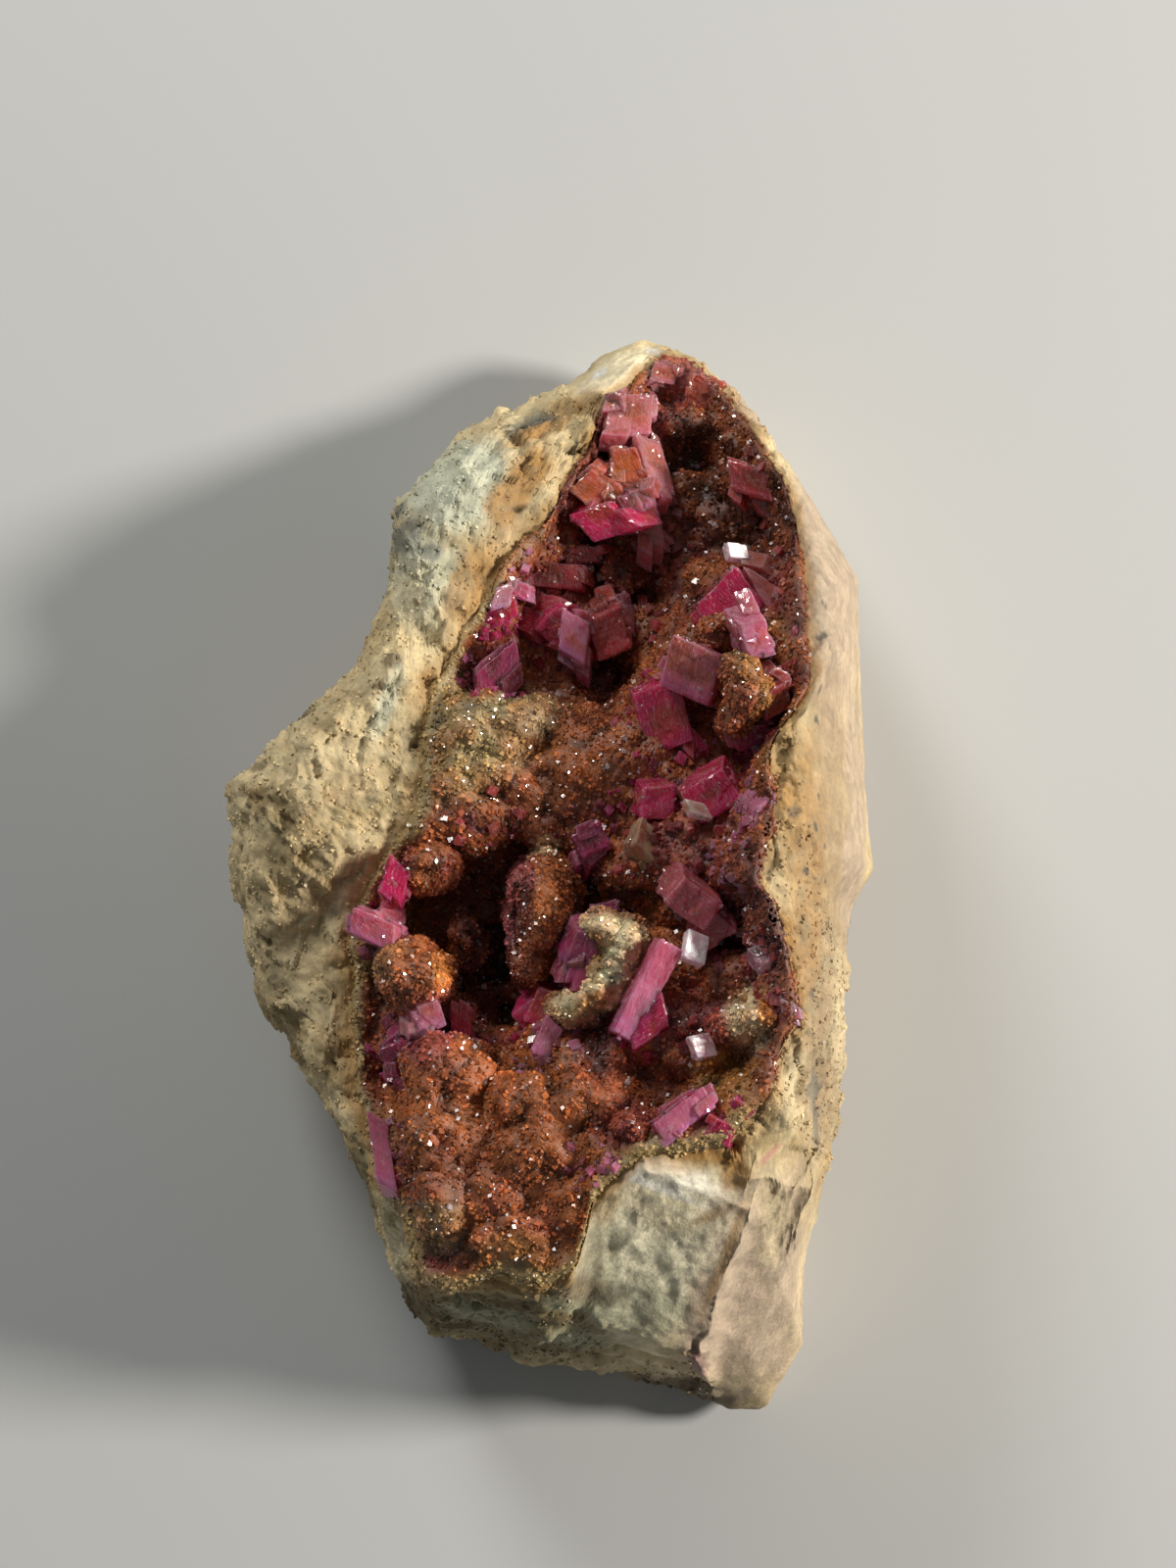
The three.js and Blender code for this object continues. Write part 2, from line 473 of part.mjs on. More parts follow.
// An uneven egg-shaped knob that stands on the floor and reaches a little into it.
function knobSolid([, x, y, top, halfWidth, halfLength, turn], margin) {
  const floor = meanHeight(x, y, FLOOR_SOFTNESS);
  const halfHeight = Math.max((halfWidth + halfLength) / 2, KNOB_ROOT * (top - floor));
  const point = (azimuth, polar) => {
    const u = Math.sin(polar) * Math.cos(azimuth);
    const v = Math.sin(polar) * Math.sin(azimuth);
    const w = Math.cos(polar);
    const rate = KNOB_WAVE_RATE;
    const swell = 1 + KNOB_UNEVENNESS * roughness(rate * u + x, rate * v + y, rate * w);
    const c = Math.cos(radians(turn));
    const s = Math.sin(radians(turn));
    const across = (swell * halfWidth + margin) * u;
    const along = (swell * halfLength + margin) * v;
    const up = (halfHeight + margin) * w - halfHeight;
    return [x + across * c - along * s, y + across * s + along * c, top + up];
  };
  const positions = [...point(0, Math.PI)];
  for (let j = 1; j < KNOB_BANDS; j += 1) {
    for (let i = 0; i < KNOB_SIDES; i += 1) {
      const azimuth = 2 * Math.PI * (i + 0.5 * (j % 2)) / KNOB_SIDES;
      positions.push(...point(azimuth, Math.PI * (1 - j / KNOB_BANDS)));
    }
  }
  positions.push(...point(0, 0));
  const last = positions.length / 3 - 1;
  const triangles = [];
  for (let i = 0; i < KNOB_SIDES; i += 1) {
    const next = (i + 1) % KNOB_SIDES;
    triangles.push(0, 1 + next, 1 + i);
    for (let j = 0; j + 2 < KNOB_BANDS; j += 1) {
      const low = 1 + j * KNOB_SIDES;
      const high = low + KNOB_SIDES;
      if (j % 2 === 0) {
        triangles.push(low + i, low + next, high + i, low + next, high + next, high + i);
      } else {
        triangles.push(low + i, low + next, high + next, low + i, high + next, high + i);
      }
    }
    triangles.push(last - KNOB_SIDES + i, last - KNOB_SIDES + next, last);
  }
  return { positions, triangles };
}

// The edge that goes down meets the other two at the same lean, as in a rhomb.
function downEdge(a, b, depth) {
  const normal = new THREE.Vector3().crossVectors(a, b).normalize();
  if (normal.z > 0) {
    normal.negate();
  }
  const sign = a.dot(b) > 0 ? 1 : -1;
  const lean = a.clone().normalize().add(b.clone().normalize()).multiplyScalar(sign * EDGE_COSINE);
  return normal.add(lean).normalize().multiplyScalar(depth);
}

// Eight corners of a leaning block, grown outwards by a margin on every side.
function blockSolid(row, margin) {
  const [, x, y, z, lengthA, headingA, riseA, lengthB, headingB, riseB, depth] = row;
  const edge = (length, heading, rise) => new THREE.Vector3(
    length * Math.cos(radians(heading)), length * Math.sin(radians(heading)), rise);
  const a = edge(lengthA, headingA, riseA);
  const b = edge(lengthB, headingB, riseB);
  const c = downEdge(a, b, depth);
  const corner = new THREE.Vector3(x, y, z);
  for (const side of [a, b, c]) {
    const length = side.length();
    corner.addScaledVector(side, -margin / length);
    side.multiplyScalar(1 + 2 * margin / length);
  }
  const positions = [];
  for (let i = 0; i < 8; i += 1) {
    const point = corner.clone();
    [a, b, c].forEach((side, k) => point.addScaledVector(side, Math.floor(i / 2 ** k) % 2));
    positions.push(point.x, point.y, point.z);
  }
  const quads = [[0, 2, 3, 1], [4, 5, 7, 6], [0, 1, 5, 4], [2, 6, 7, 3], [0, 4, 6, 2], [1, 3, 7, 5]];
  const rightHanded = new THREE.Vector3().crossVectors(a, b).dot(c) > 0;
  const triangles = quads.flatMap(([p, q, r, s]) => (
    rightHanded ? [p, q, r, p, r, s] : [p, r, q, p, s, r]));
  return { positions, triangles };
}

const wasm = await Module();
wasm.setup();

function manifold({ positions, triangles }) {
  return new wasm.Manifold(new wasm.Mesh({
    numProp: 3,
    vertProperties: new Float32Array(positions),
    triVerts: new Uint32Array(triangles),
  }));
}

function namedMesh(name, solid, colour, roughnessValue) {
  const { vertProperties, triVerts } = solid.getMesh();
  const geometry = new THREE.BufferGeometry();
  geometry.setAttribute('position', new THREE.BufferAttribute(vertProperties, 3));
  geometry.setIndex(new THREE.BufferAttribute(triVerts, 1));
  const material = new THREE.MeshStandardMaterial({
    color: colour, roughness: roughnessValue, metalness: 0,
  });
  const mesh = new THREE.Mesh(mergeVertices(geometry), material);
  mesh.name = name;
  return mesh;
}

// The crust and its crystals have grown together into one solid.
let crust = manifold(crustSolid());
let rock = manifold(rockSolid());
for (const row of KNOBS) {
  crust = crust.add(manifold(knobSolid(row, 0)));
}
for (const row of CRYSTALS) {
  crust = crust.add(manifold(blockSolid(row, 0)));
}
const mouth = manifold(mouthSolid());
for (const row of BLOCKS) {
  rock = rock.add(manifold(blockSolid(row, 0)).subtract(mouth));
}

// Where a crystal or a knob is rooted deeper than the crust, the rock has a pocket round
// its root.
for (const row of CRYSTALS) {
  rock = rock.subtract(manifold(blockSolid(row, GAP)));
}
for (const row of KNOBS) {
  rock = rock.subtract(manifold(knobSolid(row, GAP)));
}

const specimen = new THREE.Group();
specimen.add(namedMesh('matrix_rock', rock, 0xc9b68a, 0.8));
specimen.add(namedMesh('crystal_crust', crust, 0x8a3b4a, 0.45));

export default specimen;
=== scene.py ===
"""The looks of a cobaltoan dolomite specimen.

A piece of dolomite rock lies on a pale floor, seen from almost straight above. Its open
hollow is lined with brown druse, and pink rhombs stand on the druse. Lists and lengths
are in millimetres unless a name says otherwise; meshes are made in metres.
"""

import logging
import math
from collections.abc import Callable
from dataclasses import dataclass
from enum import Enum

import bpy
import numpy as np
from mathutils import Matrix, Vector


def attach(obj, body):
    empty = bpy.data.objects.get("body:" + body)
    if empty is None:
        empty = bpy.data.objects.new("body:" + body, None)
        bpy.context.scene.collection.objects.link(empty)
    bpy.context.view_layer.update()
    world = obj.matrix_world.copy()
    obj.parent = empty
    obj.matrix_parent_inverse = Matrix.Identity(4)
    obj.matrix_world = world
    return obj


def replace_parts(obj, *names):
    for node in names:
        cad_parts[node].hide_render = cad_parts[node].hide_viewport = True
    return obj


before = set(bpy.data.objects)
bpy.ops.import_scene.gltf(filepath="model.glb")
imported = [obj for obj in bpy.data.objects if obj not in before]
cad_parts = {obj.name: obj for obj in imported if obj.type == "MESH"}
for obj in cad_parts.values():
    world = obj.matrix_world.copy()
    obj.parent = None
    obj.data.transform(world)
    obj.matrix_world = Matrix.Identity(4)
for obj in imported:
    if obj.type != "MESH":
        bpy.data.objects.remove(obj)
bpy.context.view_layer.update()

log = logging.getLogger("specimen")

Array = np.ndarray
Row = tuple[float, ...]
Tree = bpy.types.NodeTree
Socket = bpy.types.NodeSocket
Keep = Callable[[Array, Array], Array]
Paint = Callable[[Array], Array]

MM = 0.001
ROOT = "root"
ROCK_NODE = "matrix_rock"
CRUST_NODE = "crystal_crust"

# The corners of the rock, as x, y and z, and the upright line that the rings go round.
BOX_LOW = np.array((-31.0, -52.0, 0.0))
BOX_HIGH = np.array((30.5, 52.0, 38.0))
CENTRE = np.array((3.5, -3.0))


def linear(screen: tuple[int, int, int]) -> Array:
    """Turns a screen colour, 0 to 255, into linear scene light by the sRGB curve."""
    value = np.array(screen, float) / 255
    return np.where(value <= 0.04045, value / 12.92, ((value + 0.055) / 1.055) ** 2.4)


class Tint(Enum):
    """Colours of rock, druse and floor, as screen red, green and blue."""

    HONEY = (250, 234, 196)
    WHITE = (246, 244, 236)
    OCHRE = (176, 128, 62)
    SLATE = (104, 108, 104)
    PALE = (206, 208, 184)
    CALCITE = (250, 240, 206)
    SAGE = (166, 166, 136)
    UMBER = (84, 66, 44)
    CREAM = (226, 206, 164)
    OLIVE = (104, 88, 52)
    PEACH = (190, 168, 144)
    SAND = (166, 141, 110)
    PLUM = (122, 66, 84)
    GOLD = (172, 132, 70)
    ROSE = (186, 92, 110)
    BUFF = (226, 204, 158)
    LOAM = (184, 160, 114)
    RUST = (170, 99, 49)
    # Mostly painted shade: darkens the druse's dips, the upper right basin and the crust under
    # the right rim; a few crust rows use it as the colour of dark bands.
    DARK = (58, 30, 26)
    # Painted shade only: darkens the crust's deep holes and pits.
    BLACK = (100, 60, 58)
    OLIVEDRUSE = (176, 154, 106)
    RIDGE = (224, 208, 164)
    ORANGE = (214, 136, 66)
    DUSTY = (178, 104, 108)
    WINE = (140, 56, 66)
    DRUSE = (128, 70, 46)
    SIENNA = (176, 106, 62)
    # Painted glint: the near white of every sparkle.
    GLINT_WHITE = (240, 222, 220)
    PAPER = (199, 200, 199)

    @property
    def light(self) -> Array:
        """The colour as linear scene light."""
        return linear(self.value)


class Kind(Enum):
    """Sorts of crystal: outer colour, core colour."""

    MAGENTA = ((232, 44, 108), (204, 84, 62))
    PINK = ((255, 146, 178), (228, 118, 100))
    DUSTY = ((228, 140, 142), (198, 108, 72))
    MAUVE = ((224, 120, 150), (190, 104, 66))
    AMBER = ((234, 112, 84), (214, 112, 44))
    BRICK = ((200, 80, 80), (178, 82, 50))
    PURPLE = ((200, 76, 124), (140, 62, 60))
    PALE = ((240, 168, 186), (210, 126, 118))
    ROSE = ((220, 112, 124), (184, 108, 66))
    GOLD = ((238, 190, 150), (206, 140, 90))
    # The two below colour faces turned to mirror the key light; their near white is a painted
    # glint over the real reflection.
    WHITE = ((248, 224, 226), (226, 186, 190))
    CREAM = ((246, 216, 196), (214, 160, 130))
    FIBRE = ((255, 130, 166), (250, 128, 140))

    @property
    def outer(self) -> Array:
        """The outer colour as linear scene light."""
        return linear(self.value[0])

    @property
    def heart(self) -> Array:
        """The core colour as linear scene light."""
        return linear(self.value[1])


# The rock's widest line, clockwise from its tip: x, y, height, and shoulder, which is 1
# for an even slope up to the rim and more for a wall that levels off.
OUTLINE = np.array((
    (9, 52, 9, 1.2), (13, 51, 7, 1.6), (17.5, 47.5, 7, 2), (21.5, 42, 9, 2.2),
    (25.5, 35, 11, 2.4), (29.5, 27, 14, 2.4), (29.5, 16, 16, 2.4), (30, 3, 17, 2.4),
    (30.5, -1.5, 16, 2.4), (28.5, -5, 16, 2.2), (28, -11.5, 15, 2.2), (27.5, -19.5, 14, 2.2),
    (26, -30, 12, 2), (24, -38, 10, 1.8), (24, -45.5, 8, 1.4), (20.5, -52, 4, 1.3),
    (16.5, -52, 4, 1.5), (12.5, -50.5, 5, 1.6), (7.5, -48.5, 6, 1.6), (-1.5, -47.5, 6, 1.7),
    (-6.5, -45.5, 6, 1.7), (-11.5, -44.5, 7, 1.6), (-14, -41.5, 8, 1.6), (-16, -36.5, 9, 1.8),
    (-17, -31, 11, 3), (-20.5, -26, 12, 4), (-23, -21, 12, 4.5), (-25.5, -16.5, 12, 5),
    (-28, -14.5, 12, 6), (-29, -9.5, 13, 7), (-30.5, -2, 14, 7), (-30, 2, 14, 8),
    (-31, 6.5, 15, 8), (-27.5, 10, 15, 8), (-23.5, 14, 15, 8), (-18.5, 18, 14, 7),
    (-17, 23, 13, 6), (-15.5, 27.5, 12, 6), (-15.5, 34.5, 12, 6), (-11, 39, 12, 5),
    (-9, 41.5, 12, 4), (-5, 44, 12, 3), (1.5, 47.5, 10, 2), (5, 50.5, 9, 1.5),
))

# The rim of the hollow, clockwise from the tip: x, y, height.
RIM = np.array((
    (10, 49.5, 11), (14, 48.5, 11.5), (17, 44, 15), (20.5, 36.5, 22), (22, 32.5, 25.5),
    (22.5, 27.5, 28.5), (23, 22.5, 31), (23, 13, 34), (19.5, 7.5, 36), (19.5, 0, 38),
    (18, -4.5, 38), (19.5, -6.5, 38), (21.5, -14.5, 38), (21.5, -17, 37.5), (19.5, -19.5, 37),
    (19, -23, 37), (17, -25.5, 36.5), (15, -27, 36), (8, -28.5, 34.5), (3.5, -32.5, 33),
    (3, -36, 32), (2, -38.5, 31), (0, -39.5, 30), (-5, -38.5, 28.5), (-9, -40, 27),
    (-11.5, -38.5, 26), (-13.5, -32, 25.5), (-15.5, -28, 23.5), (-17.5, -22.5, 21),
    (-18, -17.5, 20), (-18, -12, 19.5), (-18.5, -6.5, 20), (-17, -4, 20.5), (-14.5, -0.5, 22.5),
    (-12.5, 2, 23.5), (-11.5, 6, 23.5), (-11.5, 10.5, 23), (-10.5, 15, 22.5), (-8.5, 19.5, 22),
    (-5.5, 24, 21), (-3.5, 28, 20.5), (-0.5, 31, 20), (1.5, 35, 19), (4, 39, 17.5),
    (4.5, 42.5, 15), (7.5, 45.5, 12.5),
))

# Heights of the crust between its lumps: x, y, height.
FLOOR = np.array((
    (12, 46.5, 10), (7.5, 42, 12), (16.5, 41.5, 14), (13, 38.5, 11), (16.5, 32, 12),
    (3.5, 30.5, 12), (9, 26.5, 11), (-2, 23.5, 16), (20.5, 19.5, 27), (5.5, 18.5, 9),
    (0, 17.5, 15), (-7.5, 17.5, 19.5), (14.5, 15.5, 21), (-5.5, 11.5, 24), (3.5, 9, 24.5),
    (18.5, 8.5, 25), (10.5, 8, 25), (-7.5, 4.5, 23), (7, 1.5, 24), (-12, 0.5, 20), (14, -1, 26),
    (-5, -2, 12), (3.5, -3, 19), (-10.5, -5, 13), (-15, -5, 16), (7, -5, 21), (0.5, -7, 15),
    (19, -7.5, 22), (11.5, -8.5, 24), (-5, -9, 9), (3.5, -12, 22), (-14.5, -12, 18.5),
    (-4, -15, 11), (20.5, -15.5, 34), (17.5, -16.5, 31), (12.5, -17, 27), (-16.5, -17, 17),
    (0, -17.5, 24), (7, -19.5, 26), (-5.5, -21, 23), (-15, -21, 16), (10.5, -22.5, 29),
    (-16, -25.5, 18), (-10.5, -25.5, 28), (0, -25.5, 29.5), (5, -25.5, 30), (-3.5, -30, 29),
    (3.5, -32, 30.5), (-10, -32.5, 27), (-3.5, -37, 29.5), (-11, -38, 20), (1.5, -38, 30),
    (8, 42, 13.5), (5, 35.5, 16), (1.5, 31, 15.5), (2, 20.5, 16.5), (-5.5, 22.5, 19),
    (18.5, 36, 18.5), (18, 23, 25.5), (12, 15, 27.5), (19, 17, 31.5), (14.5, 4, 28.5),
    (9, 3, 26.5), (19, 0, 33), (12.5, -6.5, 29), (8.5, -12.5, 29.5), (0, -14.5, 22),
    (-16.5, -7.5, 20.5), (-13.5, -17.5, 22), (-15.5, -27.5, 22.5), (13.5, -25, 34.5),
))

# Broad swellings of the crust: x, y, top, half width, half length.
MASSES = (
    (-9.5, -21.5, 30, 4.5, 4), (-9.5, -26.5, 31, 4.5, 4), (-9, -31.5, 30, 5, 4),
    (-8, -35, 28.5, 4.5, 4), (-2, -24, 31, 4, 3), (4, -24, 32.5, 4, 3.5),
    (0, -28.5, 32.5, 5, 4), (4.5, -29, 33, 3, 4), (-4, -31.5, 31, 4, 3.5),
    (2.5, -32.5, 33, 3.5, 3.5), (-2, -36, 31.5, 5, 3.5), (-5, -37.5, 29.5, 5, 3.5),
    (2, -36, 31.5, 3.5, 4), (3.5, -20.5, 29.5, 5, 4), (11.5, -17.5, 31.5, 5.5, 4),
    (15, -17.5, 32.5, 3.5, 3), (3.5, 6, 26.5, 7, 5.5), (8, 7, 27, 5, 4.5),
    (-1, 5.5, 25.5, 6, 4.5), (-5.5, 3, 25, 5, 3.5), (0, 2.5, 24.5, 6.5, 3), (4.5, 2, 25, 5, 3.5),
    (-9, 2, 24.5, 4, 2.5), (-8, 8, 25, 5, 5), (-5, 10.5, 25.5, 5, 4), (-2, 11.5, 26, 4, 2.5),
    (-10, 5, 24.5, 4, 4), (-6, 7, 25, 4, 4), (1.5, 9.5, 25, 4, 3), (13.5, -1, 31.5, 5, 4.5),
    (16, -2, 32.5, 3, 3.5), (8, -2, 27.5, 4, 3), (11.5, -11.5, 28, 5, 4), (17, -13, 31, 3, 3),
    (6.5, 27.5, 15.5, 2, 2.5), (3.5, 17.5, 13, 2.5, 2), (13, 35.5, 14, 2.5, 2.5),
    (17, 32.5, 15, 3.5, 3), (13, 25.5, 15.5, 3, 2.5), (20.5, 28.5, 21, 2, 2.5),
    (13, 42, 15.5, 2.5, 2),
)

# Knobs that stand free of the crust: x, y, top, half width, half length, turn.
KNOBS = (
    (-0.7, -6, 28.5, 3.1, 6.6, -6),
    (-11, -1.5, 25.5, 2.5, 2, 0), (-6.5, 1.5, 25, 2.5, 2, 0), (-8, -8, 21.5, 1.5, 2.5, 10),
    (-12.3, -11.5, 27.5, 3.6, 3.4, 0), (5, -8.5, 33, 2.8, 2, -10), (7, -9.7, 33, 2.2, 2.5, 0),
    (5.5, -12.3, 32.8, 3, 3.1, -25), (6.2, -10.8, 32.8, 2.6, 2.3, -20),
    (4.4, -13.8, 32.2, 2.6, 2.1, 10), (3, -14.8, 31.8, 3.4, 2.2, 20),
    (17.5, 13, 35.5, 2.6, 4, 0), (15, 19, 31, 2.5, 2, 0), (8, -26, 35, 2.5, 1.8, 0),
    (16.5, -17, 35, 3, 2, 0), (19, -16.5, 37, 2, 1.8, 0), (18, 40, 18, 2, 2, 0),
)

# Swellings and dents of the rock: x, y, rise, half width, half length, turn.
KNOLLS = (
    (-8.5, 33.5, 2.5, 5.5, 4, 0), (-11.5, 27, 1.5, 3, 3.5, 0), (-15, 16, 2, 3.5, 3, 0),
    (-21.5, 10, 1.5, 5.5, 3, 30), (-24, 2.5, 1.5, 4, 4, 0), (-19.5, -0.5, 1, 4, 2.5, 0),
    (-22.5, -8.5, -1.5, 3.5, 4, 0), (-19.5, -11.5, 1.5, 2, 5.5, 0), (-20.5, -18, 1.5, 2.5, 2, 0),
    (-17.5, -28, 1, 2, 4.5, 0), (-5.5, -43, 2, 5.5, 1.5, 0), (-10, -41.5, -1.5, 2.5, 2, 0),
    (5.5, -44.5, 2, 5.5, 1.5, 0), (23.5, 8, 0.8, 2.5, 5.5, 0), (27, 24, 1, 2.5, 7.5, 0),
    (28, -8, -1, 2, 3.5, 0), (23.5, -22.5, 1.5, 2.5, 6.5, 0), (7.5, 47.5, 1.5, 2.5, 2, 30),
)

# Cleaved blocks of the rock: highest corner x, y, z, two edges of the top as length in
# plan, heading and rise, and the fall of the left side for each millimetre.
BLOCKS = (
    (5.1, -28.3, 36.9, 13.6, -22, -3.9, 14, -107, -12, 1.1),
    (17.5, -30.5, 34.7, 6, -8, -4.4, 17, -107, -21.5, 1.3),
)

# Crystals: name, highest corner x, y, z, two edges of the upper face as length in plan,
# heading and rise, length of the edge that goes down, and kind.
CRYSTALS = (
    ("tip pink", 10, 49, 12, 2.6, -10, 0, 2.2, -105, 0, 3, Kind.DUSTY),
    ("tall dusty back", 5.5, 44.5, 16, 4.5, 5, -0.5, 4.5, -95, 1, 4, Kind.DUSTY),
    ("orange top", 5.5, 38.5, 18.5, 2.5, 10, 0, 4.5, -70, -1, 4, Kind.AMBER),
    ("dusty right", 8, 40.5, 17.5, 2.5, -5, -2, 6, -75, 1, 5, Kind.DUSTY),
    ("orange striated", 1.5, 34.5, 19, 3, 40, 0.5, 3, -40, -0.5, 4, Kind.AMBER),
    ("magenta front", 1.5, 32, 19, 4, 15, 1, 3.5, -45, -1, 5, Kind.MAGENTA),
    ("mauve front", 6.5, 33.5, 20, 3, 15, -0.5, 2.5, -65, -2, 4, Kind.MAUVE),
    ("pink granular", 8, 33, 17, 2.5, -15, -0.5, 3, -80, -1, 4, Kind.DUSTY),
    ("brick long", -2, 28, 17.5, 4.5, -5, 0, 2.5, -75, -0.5, 4, Kind.BRICK),
    ("pink block left", -1.5, 21, 19, 3.5, 45, 1, 3, -40, -1, 5, Kind.MAGENTA),
    ("pink block right", 1, 23, 20.8, 3, -30, -0.5, 4, -95, -1, 5, Kind.PINK),
    ("brown block", 3.5, 22, 18.5, 3.5, 25, 0, 4, -75, -1.5, 5, Kind.BRICK),
    ("pale grey left", -5, 24.5, 22, 2, 20, 0, 2.5, -105, 0, 3, Kind.PALE),
    ("magenta streak", -6, 22.5, 21, 3, 30, 0.5, 2, -75, -1, 3, Kind.MAGENTA),
    ("purple wedge", -3, 19.5, 23.5, 5, -140, -0.5, 4, -85, -1, 4, Kind.PURPLE),
    ("magenta back right", 17, 25.5, 28, 5.5, -135, -1, 4.5, -55, 0, 5, Kind.MAGENTA),
    ("dusty back right", 17.5, 25.5, 28, 4.5, -30, -1, 4.5, -60, -0.5, 5, Kind.DUSTY),
    ("mauve block", 11, 18.3, 32, 5, -25, 0, 4.6, -105, -2, 5, Kind.MAUVE),
    ("bright pink right", 17, 18.5, 34.5, 2.5, 15, 0, 3, -75, -1.5, 4, Kind.PINK),
    ("magenta block", 7.5, 13.5, 27, 4.5, 20, 1, 6, -75, -1, 5, Kind.MAGENTA),
    ("magenta prong", 12.5, 11, 27, 3, -45, -1, 3.5, -95, -1.5, 4, Kind.MAGENTA),
    ("purple low", 16, 9.5, 31, 3.5, 10, 0, 2, -60, -1.5, 4, Kind.PURPLE),
    ("orange brown right", 19.5, 12.5, 34, 2.5, 30, 0, 2.5, -95, -1.5, 4, Kind.BRICK),
    ("red upper right", 16.5, 37, 21, 4, -20, 1, 3, -80, -0.5, 4, Kind.BRICK),
    ("cube", 15.5, 6, 32, 4.5, -150, -0.5, 3.5, -55, -0.5, 5, Kind.MAGENTA),
    ("dark magenta", 8.5, 4.5, 30, 3, 5, 0, 3, -95, -0.5, 5, Kind.MAGENTA),
    ("bright pink rim", 18.3, 1.8, 37.4, 2.2, 35, 0, 3.4, -92, -1, 4, Kind.PINK),
    ("striated gold", 8.4, 2.1, 30.3, 2.6, -105, 0.1, 3.6, -45, -1.7, 3, Kind.GOLD),
    ("purple cube", 4.5, 2, 27.5, 3, -150, -0.5, 2.5, -60, -0.5, 6, Kind.PURPLE),
    ("pink red", 16.2, 0.2, 34.6, 2.6, -25, 0, 3, -100, -0.5, 4, Kind.PINK),
    ("striated rhomb", 12, -4, 34, 3, -130, -0.5, 4.5, -35, -1, 5, Kind.ROSE),
    ("glint rhomb", 15, -7, 32, 2.5, -45, -0.5, 3.5, -150, -1, 5, Kind.ROSE),
    ("blade", 9.9, -9.4, 34.8, 2.3, -28, -1.1, 9.2, -117, -2.2, 3, Kind.FIBRE),
    ("magenta under blade", 9.9, -13.4, 33, 3.7, -76, -0.4, 4, -147, -0.8, 5, Kind.MAGENTA),
    ("purple under ridge", 3, -8.5, 30.5, 4.5, 10, 0, 5, -110, -1, 6, Kind.PURPLE),
    ("red magenta", -1, -13, 24.5, 3, -20, 0, 3.5, -115, -1, 5, Kind.MAGENTA),
    ("pale facet cube", -0.2, -15.8, 29.5, 2, -40, -0.5, 3.5, -115, -1, 4, Kind.PINK),
    ("white facet left", -14.5, -1, 25, 2.5, -40, -0.5, 3, -110, -0.5, 4, Kind.MAGENTA),
    ("long pink left", -18, -5.5, 24.5, 4.5, -25, 0.5, 2.5, -100, -0.5, 4, Kind.FIBRE),
    ("pale pink mass", -12.5, -15.5, 26.3, 3, 20, 0, 2.2, -75, -1, 4, Kind.PINK),
    ("magenta knob", -9, -14, 24.5, 2, -25, -0.5, 3, -90, -1, 4, Kind.MAGENTA),
    ("clear purple", -15.5, -18.5, 23.5, 2.5, 20, 0, 2.5, -70, -1, 4, Kind.PURPLE),
    ("purple strip", -16.5, -24, 26, 2.2, -30, 0, 6.5, -80, 1, 3.5, Kind.MAUVE),
    ("pink fibrous", 13.5, -22.4, 37, 5.5, -143, -0.8, 2.2, -60, -0.5, 3, Kind.FIBRE),
    ("pale right low", 20, -15, 38, 1.5, -15, 0, 2, -80, -0.5, 3, Kind.PALE),
    ("orange left", -8, 2, 25, 2.5, -5, 0, 2, -80, -1, 4, Kind.BRICK),
    ("tip orange", 13.5, 47.5, 13, 3.5, -15, 0, 3, -100, -0.5, 3, Kind.AMBER),
    ("orange rear", 4, 36.5, 19, 3, -30, 0, 2.5, -75, -0.5, 4, Kind.AMBER),
    ("amber low", 7.5, 30.5, 14.5, 2.5, 0, 0, 2, -75, -1, 3, Kind.AMBER),
    ("brick small", 1, 29.5, 15.5, 3, 5, 0, 1.5, -70, -0.5, 3, Kind.BRICK),
    ("pale sliver", 6, 24.5, 18, 1.5, -40, -0.5, 2.5, -75, -1.5, 3, Kind.PALE),
    ("small glint", -3.5, 25.5, 20.5, 1.5, -20, 0, 1.5, -85, -0.5, 2, Kind.PINK),
    # Grey facet and cream facet: faces turned to mirror the key light, coloured near white as a
    # painted glint.
    ("grey facet", 16.2, 27.6, 27.6, 1.9, 0, -1.13, 1.4, -75, -0.28, 1.5, Kind.WHITE),
    ("cream facet", 12, 3.1, 33.4, 2, -10, -1.19, 1.5, -60, -0.51, 1.5, Kind.CREAM),
    ("magenta low right", 14, -25, 37, 2.5, -25, 0, 2, -110, -1, 3, Kind.MAGENTA),
    ("dark prism", 16.5, -23.5, 37, 2, -50, 0, 1, -145, -0.5, 3, Kind.MAGENTA),
    ("pale right", 18.5, -12, 36, 2, 20, 0, 1.5, -80, -1, 3, Kind.PALE),
    # White glint and silver crystal: faces turned to mirror the key light, coloured near white as
    # a painted glint.
    ("white glint", 12.4, -8.5, 34.1, 2, -20, -1.15, 2.6, -100, 0.16, 1.2, Kind.WHITE),
    ("silver crystal", 12.4, -18, 34.6, 1.9, 10, -1.1, 2.1, -70, -0.52, 1.5, Kind.WHITE),
    ("mauve small", 4.6, -28.5, 34.2, 1.3, 10, -0.2, 1.8, -70, -0.3, 2, Kind.MAUVE),
)

# Crystals that stand clean, with only a few small ones at their feet.
LONE = {
    "blade", "magenta block", "mauve block", "cube", "striated rhomb", "glint rhomb",
    "dark magenta", "magenta back right", "magenta under blade", "bright pink rim",
    "purple strip", "mauve small",
}

